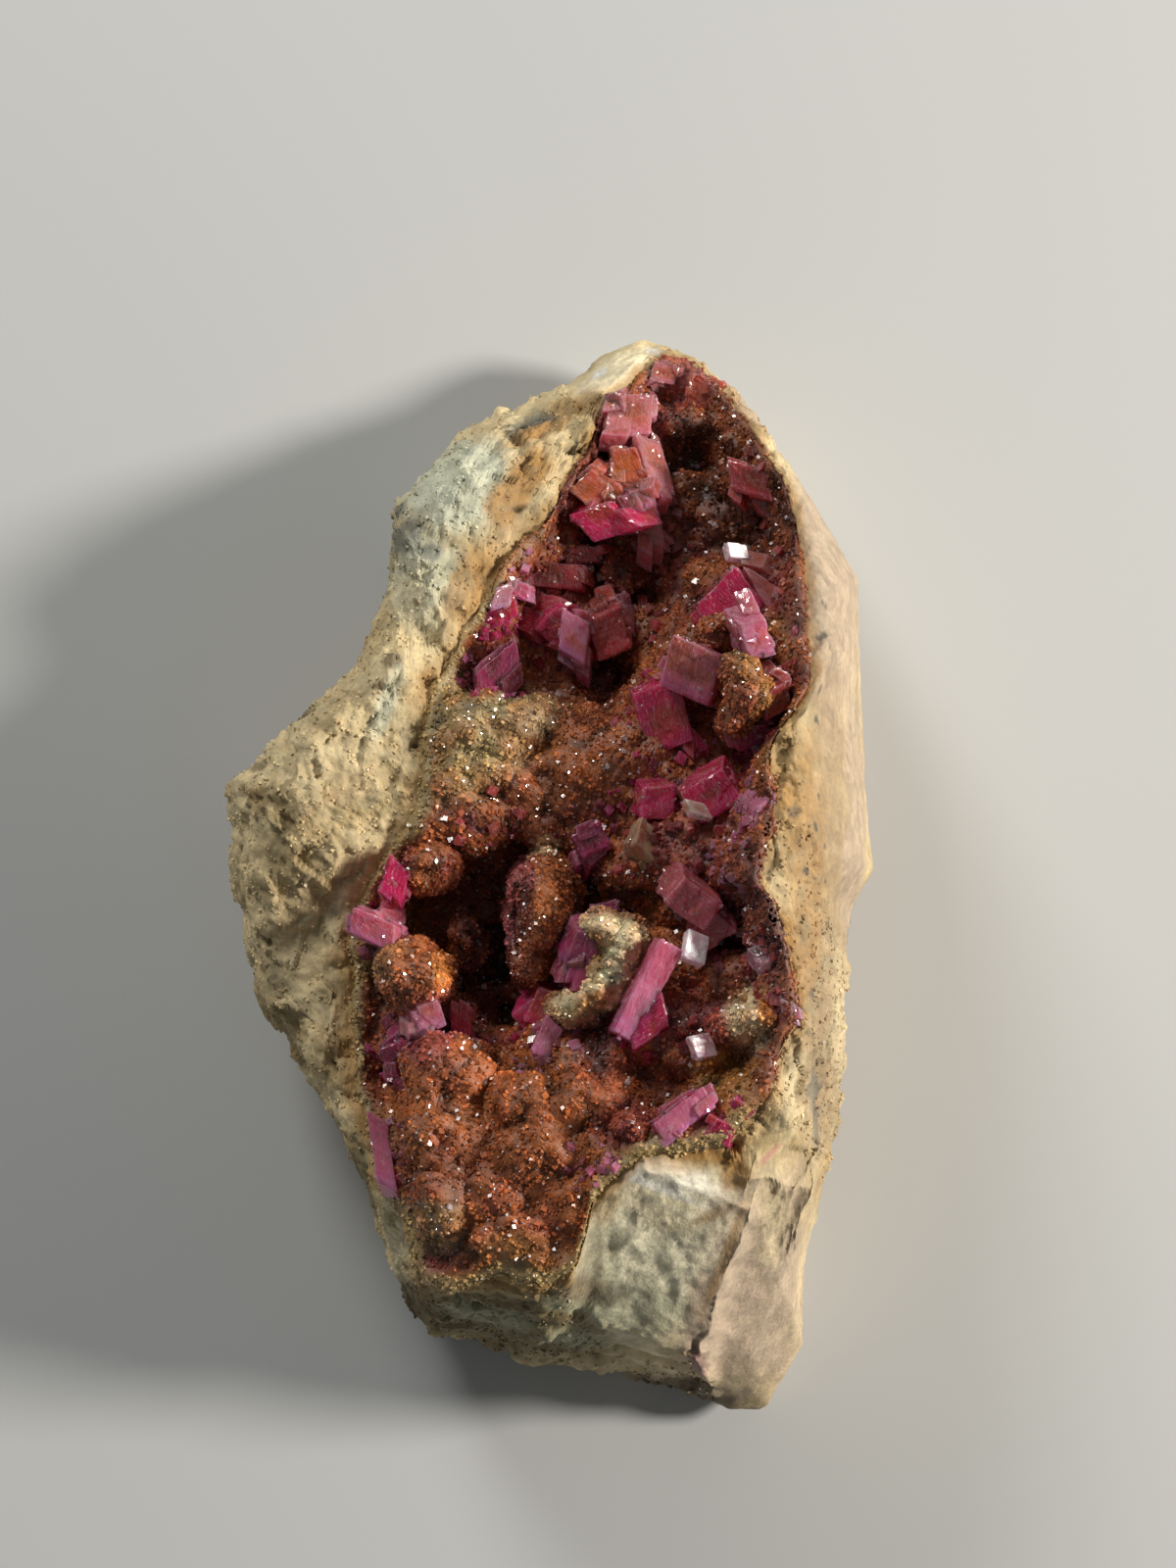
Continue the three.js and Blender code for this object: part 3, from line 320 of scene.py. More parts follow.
# Coloured areas of the rock: x, y, half width, half length, turn, colour, strength.
ROCK_PATCHES = (
    (6, 48, 4.5, 2, 35, Tint.HONEY, 0.9),
    # Painted glint: the small white dot at the tip.
    (4.5, 48, 1, 0.5, 40, Tint.WHITE, 0.9),
    (10, 50.5, 1, 0.5, -20, Tint.WHITE, 0.8),
    (2, 44, 4, 1.5, 20, Tint.OCHRE, 0.6),
    (-1.8, 42, 3, 1.8, 25, Tint.SLATE, 0.8),
    (-8.5, 34.5, 6.5, 6, 0, Tint.PALE, 0.95),
    (-11.5, 25.5, 4.5, 4.5, 0, Tint.PALE, 0.7),
    (-14.5, 33, 1, 1.5, 0, Tint.SLATE, 0.8),
    (-13.5, 29.5, 1.5, 2, 0, Tint.SLATE, 0.75),
    (-11, 27.5, 1.5, 1, 0, Tint.SLATE, 0.7),
    (-9, 26, 2, 1.5, 0, Tint.SAGE, 0.6),
    (-1, 41, 4, 1, 30, Tint.OCHRE, 0.8),
    (-3, 34.5, 2, 6, -28, Tint.OCHRE, 0.85),
    (-7.5, 25, 2, 5, -25, Tint.OCHRE, 0.65),
    (-14.5, 17, 1, 1, 20, Tint.UMBER, 0.8),
    (-22.5, 13.5, 1.5, 0.5, 20, Tint.UMBER, 0.7),
    (-27.5, 8, 1, 0.5, 0, Tint.UMBER, 0.6),
    (-15, 13, 1, 4, -20, Tint.PALE, 0.7),
    (-14, 23.5, 2.5, 2, 0, Tint.CREAM, 0.5),
    (-19.5, 6.5, 5.5, 3.5, 20, Tint.CREAM, 0.45),
    (-21, -4, 2, 1.5, 20, Tint.OCHRE, 0.35),
    (-13, 8.5, 1.5, 5.5, 0, Tint.CREAM, 0.4),
    (-20, -8.5, 0.5, 3.5, 0, Tint.CREAM, 0.6),
    # Painted shade: the umber on the lower left slope, which faces away from the light.
    (-26, -11, 1.5, 3.5, 10, Tint.UMBER, 0.25),
    (-20, -15.5, 1.5, 1.5, 0, Tint.CREAM, 0.7),
    (-19.5, -19, 1, 1, 0, Tint.CREAM, 0.6),
    (-15, -10.5, 1.5, 4.5, 0, Tint.UMBER, 0.2),
    (-17.5, -30.5, 2.5, 10, -18, Tint.OLIVE, 0.6),
    (-14, -33.5, 1, 7.5, 0, Tint.PALE, 0.35),
    (-12.5, -41.5, 2.5, 2.5, 0, Tint.UMBER, 0.75),
    (-3.5, -43.5, 11, 3.5, -8, Tint.OLIVE, 0.85),
    (-5.5, -42.5, 4.5, 1, -10, Tint.SAGE, 0.75),
    (3.5, -42, 4, 1, -10, Tint.SAGE, 0.8),
    (2.5, -45, 4, 1, -15, Tint.SAGE, 0.7),
    (-8, -40.5, 2.5, 1, 0, Tint.CREAM, 0.4),
    # Painted shade: the dark band along the bottom edge, under the overhang.
    (12, -50, 9, 1.5, -8, Tint.UMBER, 0.9),
    (10, -36.5, 8.5, 9, 10, Tint.CALCITE, 1),
    (8, -42, 4.5, 3, 0, Tint.SAGE, 0.6),
    (5, -37, 1.5, 4.5, 0, Tint.SAGE, 0.4),
    (9.8, -32.8, 5.4, 2.4, -20, Tint.CREAM, 0.55),
    (11, -30.3, 5, 1.6, -18, Tint.WHITE, 0.45),
    (10.3, -31.6, 4.5, 0.35, -22, Tint.WHITE, 0.6),
    (11.5, -33.4, 4, 0.3, -24, Tint.CALCITE, 0.6),
    (14.8, -33.6, 2.4, 0.45, 20, Tint.OCHRE, 0.7),
    (15.5, -44, 4, 6.5, -20, Tint.PEACH, 0.95),
    (5, -32.5, 1.2, 2.5, 0, Tint.OCHRE, 0.5),
    # Painted shade: these two umber rows darken the recess at the pale block's left foot.
    (3, -40.3, 4, 1.4, -5, Tint.UMBER, 0.7),
    (3.8, -37.3, 1.4, 3.4, 0, Tint.UMBER, 0.5),
    (19, -40.5, 6, 11.5, 0, Tint.PEACH, 0.95),
    (15.6, -37.5, 0.6, 5.5, -20, Tint.OCHRE, 0.55),
    (13.5, -47, 1, 1.5, 20, Tint.PLUM, 0.6),
    (20, -34.5, 1.5, 4.5, 0, Tint.CREAM, 0.6),
    (26, 24.5, 4.5, 16.5, 0, Tint.PEACH, 0.95),
    (21.3, 38.2, 2.8, 7, -32, Tint.CREAM, 0.85),
    (18.5, 43.5, 2, 3.5, 35, Tint.PEACH, 0.8),
    (25, -8, 5, 24, 0, Tint.SAND, 0.8),
    (22.6, -3, 2.4, 15, 0, Tint.OCHRE, 0.45),
    (21.5, 1.5, 0.9, 0.7, 0, Tint.SLATE, 0.9),
    (28.5, 6.5, 1.5, 7.5, 0, Tint.PEACH, 0.8),
    (28, -2.5, 1.5, 5.5, 0, Tint.PEACH, 0.8),
    (24, -24.5, 0.6, 4.5, 4, Tint.SLATE, 0.6),
    (21.5, 4, 2, 6.5, 0, Tint.GOLD, 0.35),
    (20.5, -22, 2, 5.5, 0, Tint.CREAM, 0.85),
    (17, -20, 2, 2.5, 20, Tint.CREAM, 0.8),
    (13.5, -28, 4, 1.5, -10, Tint.OCHRE, 0.95),
    (16.4, -30.2, 1.5, 1.3, 0, Tint.OCHRE, 0.8),
    (19.5, -28.5, 1.6, 0.3, 45, Tint.ROSE, 0.5),
    (27, -15.5, 1.5, 7.5, 0, Tint.CREAM, 0.6),
    (20.5, -10, 1, 3.5, 0, Tint.GOLD, 0.6),
)

# Coloured areas of the crust, given in the same way.
CRUST_PATCHES = (
    # Painted shade: this row darkens the upper right basin, which lies in the high wall's shadow;
    # the near-black rows after it darken deep holes.
    (13, 37.5, 6, 8, 15, Tint.DARK, 0.7),
    (5.5, 18, 3, 2.5, 0, Tint.BLACK, 0.85),
    (-5.5, -10, 3, 6.5, 0, Tint.BLACK, 0.9),
    (18.3, -8.5, 3.2, 5, 0, Tint.BLACK, 0.95),
    (-16, -23, 1.5, 2.5, 0, Tint.BLACK, 0.8),
    (-10, -38, 1.5, 1.5, 0, Tint.BLACK, 0.6),
    (0, 15.5, 3.5, 2, 0, Tint.DARK, 0.3),
    (5.5, 27.5, 4.5, 3.5, 0, Tint.DARK, 0.5),
    # Painted shade: the crust under the high right rim.
    (21, 30.5, 2, 5.5, 0, Tint.DARK, 0.8),
    (-5.5, 9.5, 8, 3.6, 40, Tint.OLIVEDRUSE, 0.97),
    (-9, 12, 3, 5, 0, Tint.OLIVEDRUSE, 0.9),
    (-1, 11, 2, 1, 20, Tint.CREAM, 0.7),
    (-8, 6.5, 2.5, 1.5, 10, Tint.GOLD, 0.6),
    (3.5, 8.5, 6.5, 3, 0, Tint.RUST, 0.6),
    (-3, 4.5, 4.5, 2, 0, Tint.RUST, 0.5),
    (-10.5, -22.5, 5.5, 6.5, 0, Tint.RUST, 0.6),
    (0, -28.5, 6.5, 7.5, 0, Tint.RUST, 0.65),
    (-1.5, -37, 5.5, 2, 0, Tint.GOLD, 0.5),
    (-10.5, -34.5, 4, 2.5, 0, Tint.OLIVEDRUSE, 0.6),
    (2.5, -32.5, 2, 4.5, 0, Tint.RUST, 0.6),
    (1.2, 32, 2, 6.5, -32, Tint.DARK, 0.6),
    (-4, 24.5, 1.8, 4.5, -35, Tint.DARK, 0.5),
    (8, 42.5, 3.5, 3, 0, Tint.DUSTY, 0.6),
    (13, 47, 3.5, 2, -20, Tint.DUSTY, 0.6),
    (4.5, 34.5, 4, 4.5, -30, Tint.WINE, 0.4),
    (1.5, 25, 5.5, 4.5, 0, Tint.WINE, 0.6),
    (-4.5, 20, 2, 4.5, -20, Tint.WINE, 0.5),
    (19, 16.5, 3, 5.5, 0, Tint.GOLD, 0.6),
    (18, 23, 4.5, 3, 0, Tint.WINE, 0.7),
    (20, 9.5, 2, 4.5, 0, Tint.GOLD, 0.5),
    (12.5, -0.5, 5.5, 5.5, 0, Tint.WINE, 0.4),
    (18, -16, 4.5, 1.5, 0, Tint.WINE, 0.8),
    (12, -16.5, 4.5, 2.5, 0, Tint.WINE, 0.5),
    (-14.5, -1.5, 2, 2.5, 0, Tint.WINE, 0.5),
    (-15.5, -8.5, 2.5, 4.5, 0, Tint.OLIVEDRUSE, 0.5),
    (-11.5, -17, 3.5, 3.5, 0, Tint.WINE, 0.8),
    (-15, -28, 1.5, 4.5, 0, Tint.OLIVEDRUSE, 0.5),
    (-11, 1, 3.5, 2, 0, Tint.RUST, 0.4),
    (7, -26, 3.5, 3, 0, Tint.WINE, 0.6),
    (8.5, -28.5, 5.5, 1, 0, Tint.GOLD, 0.7),
    (3.5, -20.5, 5.5, 3.5, 0, Tint.RUST, 0.4),
    (5, -20.5, 3.5, 2.5, 0, Tint.WINE, 0.3),
    (0.5, -6, 2.5, 6.5, 0, Tint.RUST, 0.6),
    (-2.6, -2, 1.2, 2.5, 20, Tint.DUSTY, 0.9),
    # Painted shade: near black in the finger knob's hollow.
    (-2.4, -6, 1, 3.5, 0, Tint.BLACK, 0.9),
    (-3.8, -6, 0.7, 4, 0, Tint.DUSTY, 0.9),
    (5, -8.5, 3.1, 2, -10, Tint.RIDGE, 0.97),
    (7, -9.5, 2.2, 2.6, 0, Tint.RIDGE, 0.97),
    (5.8, -12.3, 3, 3.4, -25, Tint.RIDGE, 0.97),
    (3, -15, 3.4, 2.1, 20, Tint.RIDGE, 0.97),
    (6, -12, 1.6, 2.2, 0, Tint.SAGE, 0.6),
    (3, -15.4, 2.6, 1.1, 20, Tint.OLIVEDRUSE, 0.7),
    (4.2, -10.5, 0.8, 2, 0, Tint.OCHRE, 0.8),
    (4.5, -14.5, 2, 0.7, 30, Tint.OCHRE, 0.6),
    (4, -16.8, 3, 1, 10, Tint.WINE, 0.6),
    (-12.5, -11.5, 3, 3.4, 0, Tint.SIENNA, 0.5),
    (-9.6, -11, 0.9, 3.2, 0, Tint.ORANGE, 0.9),
    (-9, -15.5, 2.5, 2, 0, Tint.DUSTY, 0.8),
    (17.5, -16.5, 2, 3, 0, Tint.CREAM, 0.95),
    (19, -16, 0.8, 1.6, 0, Tint.ORANGE, 0.9),
    # Painted shade: near black in a deep pit.
    (-4.5, -12, 3, 3.5, 0, Tint.BLACK, 0.9),
    (-0.5, 0, 1.5, 1, 0, Tint.CREAM, 0.9),
    (15.5, -22, 3, 3.5, 0, Tint.GOLD, 0.8),
    (-11.5, -38.5, 2, 1.5, 0, Tint.WINE, 0.8),
    (-5, -39, 3.5, 0.5, 0, Tint.GOLD, 0.8),
)

# Knobs that make up the pale ridge, whose surface is smoother: x, y.
RIDGE_KNOBS = ((5, -8.5), (7, -9.7), (5.5, -12.3), (6.2, -10.8), (4.4, -13.8), (3, -14.8))

# Areas as x, y, half width, half length and turn: the pale ridge and the olive ledge,
# which carry few grains, the dark hollow on the finger knob's left, the specked strip
# along the right wall, and where the rock is smooth, each with how smooth it is.
BARE_AREAS = ((5, -12, 4.5, 5.5, -15), (-7, 10, 7.5, 6, 20))
FINGER_HOLLOW = (-2.4, -6.2, 1.0, 4.0, 0)
SPECKED_AREA = (23.8, 6, 2.4, 30, 0)
SMOOTH_AREAS = (
    ((28, 20, 6, 27, 0), 0.92), ((10.5, -37, 8.5, 9, 0), 0.82), ((20, -40, 6, 13, 0), 0.85),
    ((6, 48.5, 5, 2.5, 35), 0.7),
)

# Where larger facets shine: x, y.
STARS = np.array((
    (7.1, 10.8), (6.8, 9.4), (6.4, 8.1), (5.3, 6.8), (-0.5, 16.5), (-0.9, 15.4), (0.3, 15.5),
    (-4.3, -7.5), (-5.1, -11.6), (-10.1, -20.3), (-5.9, -22.1), (0, -22.5), (6.3, -25.2),
    (4, 47.8), (13.9, 38.9), (18.6, 38.4), (15.4, 32.2), (12.4, 35.9), (12.2, 39.2), (8.8, 4.9),
    (-7.6, 16.7), (-7.2, 20.2), (-2.2, 25.2), (-1.3, 21.3), (4.4, -3.9), (-9.1, -32.9),
    (-3.4, -33.2), (12.1, -20.3), (13.4, -20.8), (12.6, -19.7), (17, 26.3), (16.5, 25.7),
    (13, -9.6), (12.3, -10.9), (13.5, -10.3), (7, -22),
))

# The way a face looks that mirrors the key light into the camera.
MIRROR = (0.512, -0.04, 0.857)

# The cosine between a small rhomb's edges.
RHOMB_COSINE = 0.22

# Thickness of the crust, how much deeper its bed lies on average, the rings of the bed as
# distances in from the rim and as shares of what is left, and how softly heights blend.
CRUST_THICKNESS = 3.0
BED_DEPTH = 1.5
BED_EDGE = (2.3, 3.6)
BED_SHARES = (0.15, 0.3, 0.42, 0.54, 0.66, 0.78, 0.9)
BED_SOFTNESS = 20.0
FLOOR_SOFTNESS = 0.8

# How wide the crust's masses are and how full, above and below a line in y, and how wide
# the rock's knolls are.
DOME = (1.0, 0.5)
BROAD_DOME = (1.3, 0.85)
BROAD_DOMES_BELOW = -18
KNOLL_SPREAD = 1.4

# Fall of a cleaved block for each millimetre: on its steep sides, on the ledge behind it
# and further back, with the ledge's width.
BLOCK_SIDE_FALL = 3.5
LEDGE_FALL = 0.2
BACK_FALL = 1.5
LEDGE_DEPTH = 3.5

# Multipliers that scramble whole numbers.
PRIMES = (73856093, 19349663, 83492791, 2654435761, 1274126177)


def mix(a: Array, b: Array, t: Array) -> Array:
    """Blends a into b: a and the share t of the way from a to b."""
    return a + (b - a) * t


def smooth(low: float, high: float, value: Array) -> Array:
    """A soft step, 0 at low and 1 at high: 3 squares less 2 cubes of the way between."""
    t = np.clip((value - low) / (high - low), 0, 1)
    return t * t * (3 - 2 * t)


def scramble(cell: Array, seed: int) -> Array:
    """Repeatable random values for whole-number cells, which are multiplied and folded.

    Args:
        cell: Whole numbers.
        seed: Which of many sets of values.

    Returns:
        Values from 0 to 1.
    """
    x, y, z = (cell[:, k].astype(np.int64) for k in range(3))
    n = x * PRIMES[0] ^ y * PRIMES[1] ^ z * PRIMES[2] ^ (seed + 1) * PRIMES[3]
    out = []
    for _ in range(3):
        n = (n ^ (n >> 13)) * PRIMES[4] & 0xFFFFFFFF
        n = n ^ (n >> 16)
        out.append((n & 0xFFFF) / 65535.0)
    return np.stack(out, axis=1)


def wave(points: Array, size: float, seed: int) -> Array:
    """Smooth random hills of one size: random corner values of a grid, blended inside.

    Args:
        points: Places.
        size: Width of a grid cell.
        seed: Which hills.

    Returns:
        Heights from -1 to 1.
    """
    place = points / size
    cell = np.floor(place).astype(np.int64)
    f = place - cell
    f = f * f * (3 - 2 * f)
    total = np.zeros(len(points))
    for corner in range(8):
        step = np.array([corner & 1, corner >> 1 & 1, corner >> 2 & 1])
        weight = np.prod(np.where(step, f, 1 - f), axis=1)
        total += weight * scramble(cell + step, seed)[:, 0]
    return 2 * total - 1


def hills(points: Array, size: float, octaves: int, seed: int) -> Array:
    """Random hills, with ever smaller ones added: each half as high and half as wide.

    Args:
        points: Places.
        size: Width of the largest hills.
        octaves: How many sizes.
        seed: Which hills.

    Returns:
        Heights, about -1 to 1.
    """
    total = np.zeros(len(points))
    for k in range(octaves):
        total += 0.5**k * wave(points + 7.3 * k, size / 2.03**k, seed + k)
    return total / 1.6


def grains(points: Array, size: float, seed: int) -> tuple[Array, ...]:
    """Divides space into uneven grains round random seeds.

    Args:
        points: Places.
        size: Mean distance between the seeds.
        seed: Which grains.

    Returns:
        Distance to the nearest seed in grain sizes, the way from it, and three random
        values of its grain.
    """
    place = points / size
    cell = np.floor(place).astype(np.int64)
    near = np.full(len(points), 9.0)
    way = np.zeros((len(points), 3))
    value = np.zeros((len(points), 3))
    for step in np.ndindex(3, 3, 3):
        home = cell + np.array(step) - 1
        offset = place - home - scramble(home, seed)
        distance = np.linalg.norm(offset, axis=1)
        closer = distance < near
        near = np.where(closer, distance, near)
        way[closer] = offset[closer]
        value[closer] = scramble(home[closer], seed + 50)
    return near, way, value


def chips(
    points: Array, size: float, seed: int, tilt: float, sink: float
) -> tuple[Array, ...]:
    """Heights of tilted planes on grains, distances to the seeds, and grains' values."""
    near, way, value = grains(points, size, seed)
    return np.einsum("ij,ij->i", way, value - 0.5) * tilt - sink * near, near, value


def knobbly(points: Array, size: float, seed: int) -> Array:
    """Small swellings: on each grain a round cap, one less the squared distance."""
    return 1.0 - 1.6 * grains(points, size, seed)[0] ** 2


def oval_reach(x: Array, y: Array, oval: Row) -> Array:
    """How far out places lie in an oval: squared shares of its two half axes, added.

    Args:
        x: Places' x.
        y: Places' y.
        oval: Middle x and y, half width, half length and turn.

    Returns:
        Squared reach: 0 in the middle and 1 on the edge.
    """
    cx, cy, half_width, half_length, turn = oval
    c, s = math.cos(math.radians(turn)), math.sin(math.radians(turn))
    u = ((x - cx) * c + (y - cy) * s) / half_width
    v = ((y - cy) * c - (x - cx) * s) / half_length
    return u * u + v * v


def painted(points: Array, colour: Array, patches: tuple[tuple, ...], seed: int) -> Array:
    """Lays coloured areas with ragged edges over a surface.

    Args:
        points: Places.
        colour: Colour before.
        patches: Rows of x, y, half width, half length, turn, colour, strength.
        seed: Which ragged edges.

    Returns:
        Colour after.
    """
    ragged = 0.55 * hills(points, 3.2, 4, seed) + 0.25 * hills(points, 0.9, 2, seed + 9)
    for *oval, tint, strength in patches:
        reach = oval_reach(points[:, 0], points[:, 1], tuple(oval))
        share = strength * smooth(1.25, 0.55, np.sqrt(reach) + ragged * 0.5)
        colour = mix(colour, tint.light, share[:, None])
    return colour


def crossing(stations: Array, angles: Array) -> Array:
    """Where rays from the centre meet a closed line of stations, by cross products.

    Args:
        stations: Rows of x, y and further values.
        angles: The rays' angles.

    Returns:
        Rows of distance and the further values, one for each ray.
    """
    ray = np.stack((np.cos(angles), np.sin(angles)))
    found = np.zeros((len(angles), stations.shape[1] - 1))
    for a, b in zip(stations, np.roll(stations, -1, axis=0)):
        ax, ay = a[:2] - CENTRE
        dx, dy = b[:2] - a[:2]
        turn = ray[0] * dy - ray[1] * dx
        along = (ray[1] * ax - ray[0] * ay) / turn
        distance = (ax * dy - ay * dx) / turn
        hit = (along >= 0) & (along < 1) & (distance > 0)
        values = mix(a[2:], b[2:], along[hit][:, None])
        found[hit] = np.column_stack((distance[hit], values))
    return found


def even_angles(count: int) -> Array:
    """Angles of points that lie at even steps along the outline's length.

    Args:
        count: How many.

    Returns:
        The angles, rising.
    """
    corners = OUTLINE[:, :2] - CENTRE
    corners = corners[np.argsort(np.arctan2(corners[:, 1], corners[:, 0]))]
    closed = np.vstack((corners, corners[:1]))
    run = np.concatenate(((0,), np.cumsum(np.linalg.norm(np.diff(closed, axis=0), axis=1))))
    stops = np.linspace(0, run[-1], count, endpoint=False)
    x, y = (np.interp(stops, run, closed[:, k]) for k in range(2))
    return np.sort(np.arctan2(y, x))


def evened(values: Array, width: int) -> Array:
    """Evens rows that run round a closed line: the mean of each and its neighbours."""
    half = width // 2
    return sum(np.roll(values, k, axis=0) for k in range(-half, half + 1)) / width


def mean_height(x: Array, y: Array, softness: float) -> Array:
    """Mean of the listed floor heights, weighted by one over distance cubed."""
    square = (x[:, None] - FLOOR[:, 0]) ** 2 + (y[:, None] - FLOOR[:, 1]) ** 2
    weight = 1 / (square + softness) ** 1.5
    return weight @ FLOOR[:, 2] / weight.sum(axis=1)


def relief_height(x: Array, y: Array) -> Array:
    """The crust's floor with domes on it: their rise is a power of one less the reach.

    Args:
        x: Places' x.
        y: Places' y.

    Returns:
        The heights.
    """
    floor = mean_height(x, y, FLOOR_SOFTNESS)
    height = floor.copy()
    for cx, cy, top, half_width, half_length in MASSES:
        wider, fullness = DOME if cy > BROAD_DOMES_BELOW else BROAD_DOME
        reach = oval_reach(x, y, (cx, cy, wider * half_width, wider * half_length, 0))
        cap = floor + (top - floor) * np.clip(1 - reach, 0, 1) ** fullness
        height = np.maximum(height, np.where(reach < 1, cap, -99))
    return height


def knoll_rise(x: Array, y: Array) -> Array:
    """The sum of the rock's swellings and dents, each a bell curve of the reach.

    Args:
        x: Places' x.
        y: Places' y.

    Returns:
        The rise.
    """
    total = np.zeros(len(x))
    for cx, cy, rise, half_width, half_length, turn in KNOLLS:
        oval = (cx, cy, KNOLL_SPREAD * half_width, KNOLL_SPREAD * half_length, turn)
        total += rise * np.exp(-1.5 * oval_reach(x, y, oval))
    return total


def block_height(x: Array, y: Array, row: Row) -> Array:
    """Height of a cleaved block: its leaning top, less a fall for each step outside it.

    Args:
        x: Places' x.
        y: Places' y.
        row: The block's row.

    Returns:
        The heights, low outside the block.
    """
    px, py, pz, length_a, heading_a, rise_a, length_b, heading_b, rise_b, side = row
    turn_a, turn_b = math.radians(heading_a), math.radians(heading_b)
    a = length_a * np.array((math.cos(turn_a), math.sin(turn_a)))
    b = length_b * np.array((math.cos(turn_b), math.sin(turn_b)))
    det = a[0] * b[1] - a[1] * b[0]
    s = ((x - px) * b[1] - (y - py) * b[0]) / det
    t = ((y - py) * a[0] - (x - px) * a[1]) / det
    steep = np.maximum.reduce(((s - 1) * length_a, (t - 1) * length_b, 0 * s))
    behind = np.maximum(-t, 0) * length_b
    gentle = side * np.maximum(-s, 0) * length_a
    gentle = gentle + LEDGE_FALL * behind + BACK_FALL * np.maximum(behind - LEDGE_DEPTH, 0)
    return pz + s * rise_a + np.maximum(t, 0) * rise_b - BLOCK_SIDE_FALL * steep - gentle


def evenness(x: Array, y: Array) -> Array:
    """Where the rock is smooth: the right outer wall, the two cleaved blocks and the tip.

    Args:
        x: Places' x.
        y: Places' y.

    Returns:
        Shares from 0, rough, to nearly 1, smooth.
    """
    even = np.zeros(len(x))
    for oval, share in SMOOTH_AREAS:
        even = np.maximum(even, share * smooth(1.25, 0.85, np.sqrt(oval_reach(x, y, oval))))
    return even


def add_node(tree: Tree, kind: str, inputs: dict, **options: str) -> bpy.types.Node:
    """Adds a node to a material.

    Args:
        tree: The material's nodes.
        kind: The node's type.
        inputs: Values, or sockets to link, by the name of the input they go to.
        options: The node's own settings.

    Returns:
        The node.
    """
    made = tree.nodes.new(kind)
    for option, value in options.items():
        setattr(made, option, value)
    for socket, value in inputs.items():
        if isinstance(value, Socket):
            tree.links.new(value, made.inputs[socket])
        else:
            made.inputs[socket].default_value = value
    return made


def add_range(tree: Tree, source: Socket, span: Row, result: Row) -> Socket:
    """Adds a node that stretches one range of values to another.

    Args:
        tree: The material's nodes.
        source: The values' socket.
        span: The first and last value that come in.
        result: What comes out for them.

    Returns:
        The result's socket.
    """
    names = ("From Min", "From Max", "To Min", "To Max")
    inputs = {"Value": source, **dict(zip(names, (*span, *result)))}
    return add_node(tree, "ShaderNodeMapRange", inputs).outputs["Result"]


